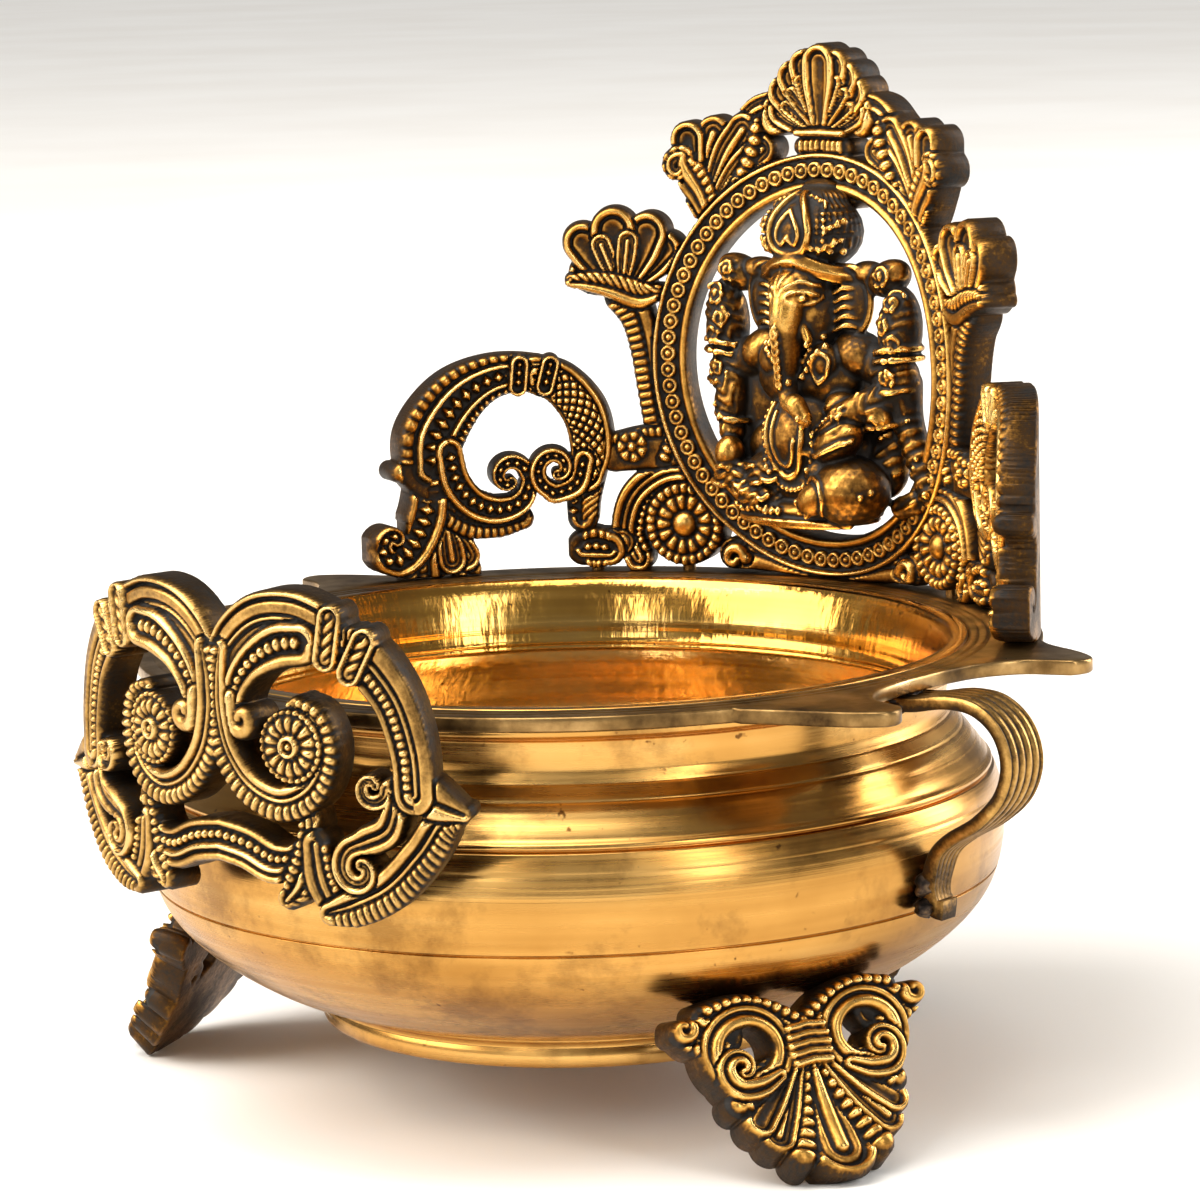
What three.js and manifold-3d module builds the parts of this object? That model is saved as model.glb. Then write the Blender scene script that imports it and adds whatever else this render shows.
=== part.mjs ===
// A brass urli: a turned bowl with a lobed rim collar, a curved and pierced back arch that frames a seated
// elephant-headed figure, two arch wings, a pierced front plate, two strap loops and three palmette feet.
// Millimetres, +Z up. The origin is on the ground under the bowl's axis, and the front plate faces -Y.
import * as THREE from "three";
import { mergeVertices } from "three/addons/utils/BufferGeometryUtils.js";
import Module from "manifold-3d";

const wasm = await Module();
wasm.setup();

// Driving dimensions.
const GAP = 0.3; // kept between pieces that are brazed or screwed together
const RIM_HEIGHT = 95; // top of the collar and the bowl's lip above the ground
const MOUTH_RADIUS = 80;
const BELLY_RADIUS = 91;
const WALL = 3;
const COLLAR_THICKNESS = 3;
const COLLAR_SEAT_RADIUS = 84; // where the collar meets the lip
const COLLAR_FRONT_RADIUS = 92;
const COLLAR_BACK_RADIUS = 99.5;
const RING_RADIUS = 55;
const RING_HEIGHT = 6;
const RING_TOP = 21.5;
const ARCH_RADIUS = 95; // radius of the curved sheet that the arch and wings lie on
const FRONT_RADIUS = 105; // the same for the front plate
const FRONT_PATTERN = 114; // its flat pattern is drawn for this radius and tightened on to the sheet
const PLATE_THICKNESS = 8;
const LOOP_WIDTH = 12;
const LOOP_THICKNESS = 3;
const FOOT_THICKNESS = 8;
const FOOT_TURNS = [180, 70, -70]; // degrees round from the front, for the back, left and right foot
const FOOT_NAMES = ["back_foot", "right_foot", "left_foot"];
const SCREW_RADIUS = 1.5;
const SCREW_DEPTH = 6; // how far a screw reaches into a plate
const SCREW_PLACES = [-92.5, -59.5, -38, 38, 59.5, 92.5]; // distances round the arch sheet
const STEP = 6; // longest chord along an ornament band
const LATHE_SIDES = 44;

const polished = new THREE.MeshStandardMaterial({ color: 0xd9a441, roughness: 0.22, metalness: 1 });
const antique = new THREE.MeshStandardMaterial({ color: 0x9c7437, roughness: 0.45, metalness: 1 });
const worn = new THREE.MeshStandardMaterial({ color: 0x8a7350, roughness: 0.5, metalness: 1 });

// A closed mesh, turned to face outwards, as a solid for joining and cutting.
function solidOf(geometry) {
  const bare = geometry.index ? geometry.toNonIndexed() : geometry.clone();
  const placed = new THREE.BufferGeometry().setAttribute("position", bare.attributes.position);
  const merged = mergeVertices(placed, 1e-4);
  const vertProperties = merged.attributes.position.array;
  const triVerts = new Uint32Array(merged.index.array);
  let volume = 0;
  const [a, b, c] = [new THREE.Vector3(), new THREE.Vector3(), new THREE.Vector3()];
  for (let i = 0; i < triVerts.length; i += 3) {
    a.fromArray(vertProperties, triVerts[i] * 3);
    b.fromArray(vertProperties, triVerts[i + 1] * 3);
    c.fromArray(vertProperties, triVerts[i + 2] * 3);
    volume += a.dot(b.cross(c));
  }
  if (volume < 0) {
    for (let i = 0; i < triVerts.length; i += 3) {
      [triVerts[i + 1], triVerts[i + 2]] = [triVerts[i + 2], triVerts[i + 1]];
    }
  }
  return new wasm.Manifold(new wasm.Mesh({ numProp: 3, vertProperties, triVerts }));
}

const largest = (solid) => solid.decompose().sort((a, b) => b.volume() - a.volume())[0];
const joined = (solids) => solids.reduce((whole, next) => whole.add(next));

// The faces of a solid, with one vertex at each corner.
function geometryOf(solid) {
  const made = solid.getMesh();
  const positions = new Float32Array(made.numVert * 3);
  for (let i = 0; i < made.numVert; i++) {
    positions.set(made.vertProperties.subarray(i * made.numProp, i * made.numProp + 3), i * 3);
  }
  const geometry = new THREE.BufferGeometry();
  geometry.setAttribute("position", new THREE.BufferAttribute(positions, 3));
  geometry.setIndex(new THREE.BufferAttribute(made.triVerts, 1));
  return geometry;
}

function meshOf(name, solid, material) {
  const geometry = geometryOf(solid);
  geometry.computeVertexNormals();
  const mesh = new THREE.Mesh(geometry, material);
  mesh.name = name;
  return mesh;
}

// A solid of revolution about +Z from [radius, height] points.
function turned(profile, sides = LATHE_SIDES) {
  const points = profile.map(([r, z]) => new THREE.Vector2(r, z));
  return solidOf(new THREE.LatheGeometry(points, sides).rotateX(Math.PI / 2));
}

// Ornament is joined flat, as x across, y up and z out of its decorated face, and then bent on to a sheet.
// A sheet gives the place of each flat point.
const archSheet = (across, up, out) => {
  const turn = across / ARCH_RADIUS;
  const radius = ARCH_RADIUS - out;
  return [radius * Math.sin(turn), radius * Math.cos(turn), RIM_HEIGHT + up];
};
const frontSheet = (across, up, out) => {
  const turn = across / FRONT_PATTERN;
  const radius = FRONT_RADIUS + out;
  return [radius * Math.sin(turn), -radius * Math.cos(turn), RIM_HEIGHT + up];
};
const loopSheet = (side) => (across, up, out) => [side * across, out, RIM_HEIGHT + up];

// A foot's sheet curves outwards on its way down, from steep at the top to a splayed toe.
const FOOT_TOP = { radius: 82.2, height: 33 };
const FOOT_SLOPE = { top: THREE.MathUtils.degToRad(16), toe: THREE.MathUtils.degToRad(50) };
const FOOT_LENGTH = 40;
const footSheet = (turn) => (across, down, out) => {
  const bend = (FOOT_SLOPE.toe - FOOT_SLOPE.top) / FOOT_LENGTH;
  const slope = FOOT_SLOPE.top + bend * down;
  const outward = (Math.cos(FOOT_SLOPE.top) - Math.cos(slope)) / bend;
  const drop = (Math.sin(slope) - Math.sin(FOOT_SLOPE.top)) / bend;
  const radius = FOOT_TOP.radius + outward + out * Math.cos(slope);
  const height = FOOT_TOP.height - drop + out * Math.sin(slope);
  return [
    radius * Math.sin(turn) + across * Math.cos(turn),
    -radius * Math.cos(turn) + across * Math.sin(turn),
    height,
  ];
};

function bent(solid, sheet) {
  const geometry = geometryOf(solid);
  const places = geometry.attributes.position;
  for (let i = 0; i < places.count; i++) {
    places.setXYZ(i, ...sheet(places.getX(i), places.getY(i), places.getZ(i)));
  }
  return solidOf(geometry);
}

// A flat band of rectangular section that follows [across, up, width] points.
function band(points, back, front, { closed = false, extra = 0 } = {}) {
  const stops = points.map((point) => new THREE.Vector3(...point));
  const curve = new THREE.CatmullRomCurve3(stops, closed, "catmullrom", 0.5);
  const count = Math.max(2, Math.ceil(curve.getLength() / STEP));
  const sections = closed ? count : count + 1;
  const positions = [];
  for (let i = 0; i < sections; i++) {
    const at = curve.getPoint(i / count);
    const along = curve.getTangent(i / count).setZ(0).normalize();
    const half = at.z / 2 + extra;
    for (const [side, out] of [[1, back], [1, front], [-1, front], [-1, back]]) {
      positions.push(at.x - along.y * half * side, at.y + along.x * half * side, out);
    }
  }
  const index = [];
  const quad = (p, q, r, s) => index.push(p, q, r, p, r, s);
  for (let i = 0; i < (closed ? sections : sections - 1); i++) {
    const here = i * 4;
    const next = ((i + 1) % sections) * 4;
    for (let k = 0; k < 4; k++) {
      quad(here + k, here + ((k + 1) % 4), next + ((k + 1) % 4), next + k);
    }
  }
  if (!closed) {
    const last = (sections - 1) * 4;
    quad(3, 2, 1, 0);
    quad(last, last + 1, last + 2, last + 3);
  }
  const geometry = new THREE.BufferGeometry();
  geometry.setAttribute("position", new THREE.Float32BufferAttribute(positions, 3));
  geometry.setIndex(index);
  return solidOf(geometry);
}

// A flat round boss.
function disc([across, up, radius], back, front, extra = 0) {
  const drum = new THREE.CylinderGeometry(radius + extra, radius + extra, front - back, 12);
  return solidOf(drum.rotateX(Math.PI / 2).translate(across, up, (front + back) / 2));
}

const ellipse = ([across, up], [wide, high], width, points = 16) =>
  Array.from({ length: points }, (_, i) => {
    const turn = (2 * Math.PI * i) / points;
    return [across + wide * Math.cos(turn), up + high * Math.sin(turn), width];
  });
const mirrored = (points) => points.map(([across, ...rest]) => [-across, ...rest]);

// A flat pierced plate of bands, closed rings and bosses. grow widens it, for cutting clearances.
function plate({ bands = [], rings = [], bosses = [] }, thickness, grow = 0) {
  const [back, front] = [-thickness / 2 - grow, thickness / 2 + grow];
  return joined([
    ...bands.map((points) => band(points, back, front, { extra: grow })),
    ...rings.map((points) => band(points, back, front, { closed: true, extra: grow })),
    ...bosses.map((boss) => disc(boss, back, front, grow)),
  ]);
}

// The same ornament on both sides of the middle.
const bothSides = ({ bands = [], rings = [], bosses = [] }) => ({
  bands: [...bands, ...bands.map(mirrored)],
  rings: [...rings, ...rings.map(mirrored)],
  bosses: [...bosses, ...mirrored(bosses)],
});

const slab = (low, high) => {
  const size = high.map((value, i) => value - low[i]);
  const box = new THREE.BoxGeometry(...size);
  return solidOf(box.translate(...low.map((value, i) => value + size[i] / 2)));
};
const FAR = 200;

// The bowl: a flared lip, a waisted neck, a full belly and a shallow underside.
const OUTSIDE = [
  [RING_RADIUS - 5, 22], [60, 22.6], [68, 25.8], [76.5, 31.2], [83.5, 37], [88, 42.5], [90.3, 49],
  [BELLY_RADIUS, 57], [89.8, 65], [87.4, 70], [83.6, 75], [79.8, 79.5], [79, 83], [80, 88.2],
];
function bowlBody() {
  const underside = RING_TOP + 0.5;
  const floor = underside + WALL;
  const inside = [
    [0, floor], [52, floor], [66, 29], [75, 34.5], [82, 41], [86, 49], [BELLY_RADIUS - WALL, 57],
    [86.4, 65], [83, 71], [78.4, 77], [76, 82], [77.2, 88], [MOUTH_RADIUS, RIM_HEIGHT],
  ];
  const ledge = [
    [80, 88.2], [86, 89.6], [86, RIM_HEIGHT - COLLAR_THICKNESS - GAP],
    [COLLAR_SEAT_RADIUS - GAP, RIM_HEIGHT - COLLAR_THICKNESS - GAP], [COLLAR_SEAT_RADIUS - GAP, RIM_HEIGHT],
  ];
  const outside = [[0, underside], ...OUTSIDE.map(([r, z], i) => [r, i ? z : underside])];
  return turned([...outside, ...ledge.slice(1), ...inside.reverse()]);
}

// The bowl's outside, a gap larger, for cutting what is brazed to it.
const bowlClearance = turned([
  [0, RING_TOP - 1], ...OUTSIDE.map(([r, z]) => [r + GAP, z - GAP]), [86 + GAP, 89], [86 + GAP, 92], [0, 92],
]);

function footRing() {
  const bottom = RING_TOP - RING_HEIGHT;
  const top = RING_TOP + 0.2;
  const bore = RING_RADIUS - 4;
  return turned([
    [bore, bottom], [RING_RADIUS - 0.8, bottom], [RING_RADIUS, bottom + 0.8], [RING_RADIUS, top], [bore, top],
    [bore, bottom],
  ]);
}

// The collar's outline: a round front and back, with two horns at each side and a tongue for the front plate.
function collarShape(grow = 0) {
  const horn = [
    [81, -47], [92, -42.5], [102, -38.5], [107.5, -34], [106, -28.5], [98, -25.5], [92.5, -18], [90.5, -8],
  ];
  const rightSide = [
    ...horn, [90.3, 0], ...horn.map(([x, y]) => [x, -y * 1.06]).reverse().slice(0, -1), [86.5, 49],
  ].map(([x, y]) => new THREE.Vector2(x + Math.sign(x) * grow, y));
  const backCorner = Math.atan2(49, 86.5);
  const shape = new THREE.Shape();
  const frontCorner = Math.atan2(-47, 81);
  const tongue = { half: 12, reach: FRONT_RADIUS - PLATE_THICKNESS / 2 - 2 * GAP + grow };
  const tongueEnd = Math.asin(tongue.half / tongue.reach);
  shape.absarc(0, 0, tongue.reach, -Math.PI / 2 - tongueEnd, -Math.PI / 2 + tongueEnd, false);
  shape.lineTo(tongue.half + 3, -Math.sqrt(COLLAR_FRONT_RADIUS ** 2 - (tongue.half + 3) ** 2));
  const tongueTurn = Math.asin((tongue.half + 3) / COLLAR_FRONT_RADIUS);
  shape.absarc(0, 0, COLLAR_FRONT_RADIUS + grow, -Math.PI / 2 + tongueTurn, frontCorner, false);
  const edge = new THREE.SplineCurve(rightSide).getPoints(32);
  edge.forEach(({ x, y }) => shape.lineTo(x, y));
  shape.absarc(0, 0, COLLAR_BACK_RADIUS + grow, backCorner, Math.PI - backCorner, false);
  edge.reverse().forEach(({ x, y }) => shape.lineTo(-x, y));
  shape.absarc(0, 0, COLLAR_FRONT_RADIUS + grow, Math.PI - frontCorner, 1.5 * Math.PI - tongueTurn, false);
  return shape;
}

function collarSolid(grow = 0) {
  const depth = COLLAR_THICKNESS + 2 * grow;
  const bottom = RIM_HEIGHT - COLLAR_THICKNESS - grow;
  const extrusion = { depth, bevelEnabled: false, curveSegments: 10 };
  const geometry = new THREE.ExtrudeGeometry(collarShape(grow), extrusion);
  const radius = COLLAR_SEAT_RADIUS - grow;
  const [low, high] = [bottom - 1, bottom + depth + 1];
  const mouth = turned([[0, low], [radius, low], [radius, high], [0, high]]);
  return solidOf(geometry.translate(0, 0, bottom)).subtract(mouth);
}

// Screws pass up through the collar into the feet of the arch and the wings.
const screwSpot = (across) => archSheet(across, 0, 0);
function screwHole(across) {
  const [x, y] = screwSpot(across);
  const radius = SCREW_RADIUS + GAP;
  const [low, high] = [RIM_HEIGHT - COLLAR_THICKNESS - 1, RIM_HEIGHT + SCREW_DEPTH + 1];
  return turned([[0, low], [radius, low], [radius, high], [0, high]], 12).translate([x, y, 0]);
}
const screwHoles = (places) => joined(places.map(screwHole));
function screw(across) {
  const [x, y] = screwSpot(across);
  const under = RIM_HEIGHT - COLLAR_THICKNESS - GAP;
  const head = { radius: 3, height: 1.8 };
  const tip = RIM_HEIGHT + SCREW_DEPTH;
  return turned([
    [0, under - head.height], [head.radius - 0.5, under - head.height],
    [head.radius, under - head.height + 0.5], [head.radius, under],
    [SCREW_RADIUS, under], [SCREW_RADIUS, tip - 1], [0, tip],
  ], 12).translate([x, y, 0]);
}

// A fan of petals from one root: each has a direction in degrees, a length and a width.
const petals = ([across, up], list) =>
  list.map(([degrees, length, width]) => {
    const turn = THREE.MathUtils.degToRad(degrees);
    const at = (share) => [across + length * share * Math.cos(turn), up + length * share * Math.sin(turn)];
    return [[...at(0), width * 0.6], [...at(0.65), width], [...at(1), width * 0.45]];
  });

// The back arch: an oval beaded ring with a palmette crest, upper leaves, lotus finials and scroll feet.
const RING_MIDDLE = [0, 48.7];
const archHalf = {
  bands: [
    [[-45.5, 30, 5], [-47.5, 42, 5], [-48.8, 52, 5.5], [-50.5, 60, 7], [-52, 66, 10]],
    ...petals([-52, 64], [[163, 12, 6], [125, 16, 8], [96, 18, 9], [67, 17.5, 9], [38, 17, 8]]),
    ...petals([-31.5, 81], [[118, 19, 9], [92, 24, 10], [68, 26, 10], [52, 22, 8]]),
    [[-19, 105, 6], [-14, 107, 7], [-9, 107, 7]],
    ...petals([0, 100], [[68, 19, 8], [46, 18, 8], [152, 14, 7]]),
    [[-40, 29, 9], [-48, 29, 8.5], [-54.5, 28, 6]],
    [[-40, 22, 5], [-47, 19.5, 6], [-52, 12, 6], [-50, 4, 5]],
    [[-50, 6, 6], [-57, 7, 5]],
    [[-26, 4, 6], [-18, 3.5, 5], [-6, 2.6, 4]],
    [[-34, 16, 7], [-30, 19, 6]],
  ],
  bosses: [[-37.5, 93.5, 4.6], [-11, 103.5, 3.4], [-38, 11, 9.6], [-59.5, 5.2, 5]],
};
const archMiddle = {
  bands: [[[0, 90, 13], [0, 96, 11], [0, 103, 10]], ...petals([0, 101], [[90, 20.5, 9]])],
  rings: [ellipse(RING_MIDDLE, [40.2, 43.2], 8, 24)],
};
const halves = bothSides(archHalf);
const archOrnament = { ...halves, bands: [...halves.bands, ...archMiddle.bands], rings: archMiddle.rings };
const underRim = slab([-FAR, -FAR, -FAR], [FAR, GAP, FAR]);

function backArch() {
  const whole = plate(archOrnament, PLATE_THICKNESS).subtract(underRim);
  return bent(whole, archSheet).subtract(screwHoles([-59.5, -38, 38, 59.5]));
}
const archClearance = plate(archOrnament, PLATE_THICKNESS, GAP);

// A wing: a thick arch that ends in two small volutes, on a leaf pedestal with an outer curl.
const wingHalf = {
  bands: [
    [[-99, 24, 16], [-98, 33, 16.5], [-92, 41, 14], [-84, 45.6, 10.5], [-75, 46.4, 8.6], [-67, 43.5, 9],
      [-61.8, 37, 9.5], [-60.2, 29, 9], [-61.6, 21, 8], [-63.5, 12, 6.5]],
    [[-94, 24, 8], [-91, 17, 7], [-84, 14.5, 7], [-77, 16.5, 6]],
    [[-61.5, 20, 7], [-67, 18.6, 5]],
    [[-100.5, 21, 9], [-101.5, 13, 8], [-105, 6.5, 6], [-109.5, 5.5, 5]],
    [[-95, 18, 13], [-93.5, 9, 11], [-92.5, 0, 10]],
    [[-94, 12, 7], [-86, 11.5, 5.5], [-78, 12.6, 4.5]],
    [[-104, 24.5, 6], [-109.5, 25.5, 3.4]],
  ],
  bosses: [[-80.8, 21.8, 6], [-68.8, 24, 6.3], [-109.3, 9.4, 4.2]],
};
const wingMirror = { bands: wingHalf.bands.map(mirrored), bosses: mirrored(wingHalf.bosses) };
function wing(ornament, screwPlace) {
  const whole = plate(ornament, PLATE_THICKNESS).subtract(archClearance).subtract(underRim);
  return bent(whole, archSheet).subtract(screwHoles([screwPlace]));
}

// The front plate: on each side a paisley, a rosette volute, a cuffed outer arc and a tailed lower lobe.
const frontHalf = {
  bands: [
    [[-1, 12, 7], [-1, 2, 7], [2, -7, 6.5], [8, -13.5, 6.5], [16, -16, 6.5], [23.5, -12, 7],
      [26, -5, 7], [23, 1, 6]],
    [[2, 8, 8], [7, 15, 12], [15, 19, 12], [23, 18, 12], [30, 16.5, 11.5], [37, 12.5, 10]],
    [[18, 13, 5], [11, 10.5, 4.5], [7, 5, 4.5], [7.5, 0.5, 5]],
    [[36, 13, 10], [43, 5.5, 9], [46.3, -4, 8.5], [47, -12, 8.5]],
    [[46, -12, 9], [52, -15, 8], [57.5, -15.6, 3]],
    [[53, -17, 7], [48, -24, 7], [41, -31, 7.5], [33, -34.8, 7.5], [26, -35, 6.5]],
    [[40, -8.6, 4], [43.4, -12, 5], [42, -19, 6], [37, -23, 7]],
    [[22, -20, 5], [23, -27, 7], [20, -32, 7], [16.5, -33.5, 4]],
    [[23, -26, 6], [25.5, -33, 7]],
    [[22, -26, 7], [15, -27.5, 8], [7, -25.2, 8], [-1, -24, 7.5]],
    [[20.5, -14, 5], [21.6, -21, 5], [21, -27, 5]],
  ],
  bosses: [[19.5, -4, 7.8], [38, -11, 3.8], [34.5, -27, 6.4]],
};
const frontPlate = () => bent(plate(bothSides(frontHalf), PLATE_THICKNESS), frontSheet);

// A strap loop runs from under the collar out and down to a leaf-shaped pad on the belly.
function loop(side) {
  const strap = [
    [86.8, -4.9], [93, -4.9], [100, -3.6], [107, -4.4], [112.6, -8.6], [114.6, -15], [112.6, -21.6],
    [107, -27], [100, -31.4], [95.6, -36], [93.4, -41], [92, -48],
  ].map(([r, up]) => [r, up, LOOP_THICKNESS]);
  const whole = bent(band(strap, -LOOP_WIDTH / 2, LOOP_WIDTH / 2), loopSheet(side));
  return whole.subtract(bowlClearance).subtract(collarSolid(GAP));
}

// A foot: two open volutes tied over a palmette whose middle lobes make the toe.
const footHalf = {
  bands: [
    [[-18, 4, 8], [-24, 5, 8], [-28, 4, 3.5]],
    [[-20, 2.4, 5], [-12, 1.6, 4.5], [-5, 3.6, 5], [1, 6, 6]],
    [[0, 10, 5], [-9, 18, 7], [-17.5, 22, 6]],
    [[0, 11, 5], [-7, 21, 8], [-14.5, 27.5, 7]],
    [[-2, 14, 6], [-6, 25, 10], [-8.5, 33, 12]],
    [[-22, 8, 5], [-21, 14, 6], [-16, 18, 6]],
  ],
  rings: [ellipse([-14.6, 9.2], [7.4, 7], 4.6, 12)],
  bosses: [[-17.5, 12, 4.2]],
};
function foot(turnDegrees) {
  const sheet = footSheet(THREE.MathUtils.degToRad(turnDegrees));
  const ornament = bothSides(footHalf);
  ornament.bands.push([[0, 3, 8], [0, 14, 9], [0, 26, 12], [0, 39, 13]]);
  const ground = slab([-FAR, -FAR, -FAR], [FAR, FAR, 0]);
  return bent(plate(ornament, FOOT_THICKNESS), sheet).subtract(bowlClearance).subtract(ground);
}

// The seated figure, as plain rounded masses: seat, belly, chest, head, crown and trunk,
// then legs, ears and arms.
function lump([across, up, out], [wide, high, deep], sides = 8) {
  const ball = new THREE.SphereGeometry(1, sides, 5);
  return solidOf(ball.scale(wide, high, deep).translate(across, up, out));
}
function figure() {
  const centred = [
    [[0, 17, 5], [21, 4.5, 10]], [[0, 40, 5], [14, 13, 10]], [[0, 53, 4], [13, 10, 7.5]],
    [[0, 66, 7], [9.5, 9.5, 9]], [[0, 79, 4], [10.5, 9.5, 8]], [[0, 87, 1], [5, 4.5, 4]],
    [[0, 55, 15], [4, 11, 4]], [[0, 45, 15], [5, 4, 4]],
  ];
  const paired = [
    [[14, 25, 7], [12, 6.5, 8]], [[14, 65, 2], [7, 8, 3]], [[20, 66, 1], [6, 6, 4]],
    [[25, 57, 1], [4.2, 11, 4]], [[22, 46, 2], [5, 6, 4.5]], [[18, 37, 8], [5, 8, 5]],
    [[26, 23, 2], [7, 4, 3.5]],
  ];
  const pairs = paired.flatMap(([[across, ...rest], size]) => [
    lump([across, ...rest], size), lump([-across, ...rest], size),
  ]);
  const whole = joined([...centred.map(([at, size]) => lump(at, size, 10)), ...pairs]);
  return bent(largest(whole.subtract(archClearance)), archSheet);
}

const urli = new THREE.Group();
const collar = collarSolid().subtract(screwHoles(SCREW_PLACES));
urli.add(
  meshOf("bowl_body", bowlBody(), polished),
  meshOf("base_ring", footRing(), polished),
  meshOf("rim_collar", collar, worn),
  meshOf("back_arch", backArch(), antique),
  meshOf("seated_figure", figure(), antique),
  meshOf("left_wing", wing(wingHalf, -92.5), antique),
  meshOf("right_wing", wing(wingMirror, 92.5), antique),
  meshOf("front_plate", frontPlate(), antique),
  meshOf("right_loop", loop(1), antique),
  meshOf("left_loop", loop(-1), antique),
);
FOOT_TURNS.forEach((turn, i) => urli.add(meshOf(FOOT_NAMES[i], foot(turn), antique)));
SCREW_PLACES.forEach((place, i) => urli.add(meshOf(`arch_screw_${i + 1}`, screw(place), worn)));

export default urli;
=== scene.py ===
# A brass urli bowl with cast ornament. The turned pieces are lathed here, and the castings are drawn as
# relief on flat panels, which are then bent on to the curve that each casting has on the bowl.
import math
import bmesh
import bpy
import numpy as np
from mathutils import Matrix, Vector


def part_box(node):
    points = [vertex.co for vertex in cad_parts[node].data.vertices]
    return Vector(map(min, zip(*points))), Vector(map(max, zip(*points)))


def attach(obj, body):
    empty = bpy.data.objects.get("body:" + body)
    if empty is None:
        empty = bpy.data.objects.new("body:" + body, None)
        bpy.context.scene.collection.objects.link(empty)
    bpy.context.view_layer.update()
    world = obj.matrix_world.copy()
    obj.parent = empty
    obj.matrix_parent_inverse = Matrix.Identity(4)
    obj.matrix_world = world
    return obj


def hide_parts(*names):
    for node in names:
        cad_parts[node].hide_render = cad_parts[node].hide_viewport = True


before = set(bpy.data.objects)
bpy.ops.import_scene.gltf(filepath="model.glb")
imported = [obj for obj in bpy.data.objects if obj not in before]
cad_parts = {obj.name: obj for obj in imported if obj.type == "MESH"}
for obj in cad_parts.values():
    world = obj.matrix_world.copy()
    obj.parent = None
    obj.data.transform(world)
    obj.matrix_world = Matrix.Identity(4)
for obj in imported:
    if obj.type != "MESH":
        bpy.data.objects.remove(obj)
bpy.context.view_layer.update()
mm = 0.001
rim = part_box("rim_collar")[1][2] / mm  # top of the collar above the ground


# a smooth line through [across, up, width] points, as closely spaced points
def curveThrough(points, closed=False, spacing=0.45):
    p = np.array(points, float)
    if closed:
        p = np.vstack([p[-1:], p, p[:2]])
    else:
        p = np.vstack([2 * p[:1] - p[1:2], p, 2 * p[-1:] - p[-2:-1]])
    line = []
    for a, b, c, d in zip(p[:-3], p[1:-2], p[2:-1], p[3:]):
        count = max(2, int(np.hypot(*(c - b)[:2]) / spacing))
        t = (np.arange(count) / count)[:, None]
        line.append(0.5 * (2 * b + (c - a) * t + (2 * a - 5 * b + 4 * c - d) * t**2
                           + (3 * b - a - 3 * c + d) * t**3))
    line.append(p[-2:-1])
    return np.vstack(line)


# points of a spiral about a centre, for the end of a scroll
def spiral(centre, radii, degrees, widths, count=14):
    turn = np.radians(np.linspace(degrees[0], degrees[1], count))
    share = np.linspace(0, 1, count)
    radius = radii[0] + (radii[1] - radii[0]) * share
    width = widths[0] + (widths[1] - widths[0]) * share
    return [[centre[0] + r * math.cos(a), centre[1] + r * math.sin(a), w]
            for r, a, w in zip(radius, turn, width)]


def newPanel(low, high, pitch):
    across = np.arange(low[0], high[0] + pitch / 2, pitch)
    up = np.arange(low[1], high[1] + pitch / 2, pitch)
    u, v = np.meshgrid(across, up, indexing="ij")
    return {"low": low, "pitch": pitch, "u": u, "v": v, "edge": np.full(u.shape, -9.0),
            "height": np.zeros(u.shape)}


# height of one lane of a moulding: x is the distance from its middle and s the distance along it
def laneHeight(kind, x, s, half, pitch):
    t = np.clip(np.abs(x) / half, 0, 1)
    bar = np.sqrt(1 - 0.98 * t**2)
    cell = s / pitch - np.floor(s / pitch) - 0.5
    if kind == "bar":
        return bar**0.8
    if kind == "flat":
        return 1 - 0.9 * t**8
    if kind == "beads":
        rho = np.hypot(cell * 2, x / half)
        return np.sqrt(np.clip(1.04 - rho**2, 0, 1))
    if kind == "studs":  # small pyramids set on their corners
        return np.clip(1.15 - np.abs(cell) * 2 - np.abs(x) / half, 0, 0.8) / 0.8
    if kind == "ribs":
        return bar**0.6 * (0.15 + 0.85 * np.sqrt(np.clip(1 - (cell * 2) ** 2, 0, 1)))
    if kind == "slant":
        cell = (s + 0.9 * x) / pitch
        cell = cell - np.floor(cell) - 0.5
        return bar**0.6 * (0.15 + 0.85 * np.sqrt(np.clip(1 - (cell * 2) ** 2, 0, 1)))
    if kind == "rings":  # a ring with a dot in its middle
        rho = np.hypot(cell * pitch, x) / np.minimum(half, pitch / 2)
        ring = np.exp(-(((rho - 0.8) / 0.17) ** 2))
        dot = np.exp(-((rho / 0.42) ** 4))
        return 0.3 + 0.6 * ring + 0.62 * dot - 0.2 * (rho > 1.02)
    if kind == "lattice":  # small squares set on their corners, side by side
        along, aside = ((s + x) / pitch, (s - x) / pitch)
        edge = np.maximum(np.abs(along - np.floor(along) - 0.5), np.abs(aside - np.floor(aside) - 0.5)) * 2
        return 0.25 + 0.75 * np.clip((0.94 - edge) / 0.35, 0, 1)
    if kind == "cup":
        return (0.25 + 0.75 * t**2) * (1 - 0.95 * t**14)
    return np.zeros_like(x)


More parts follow.
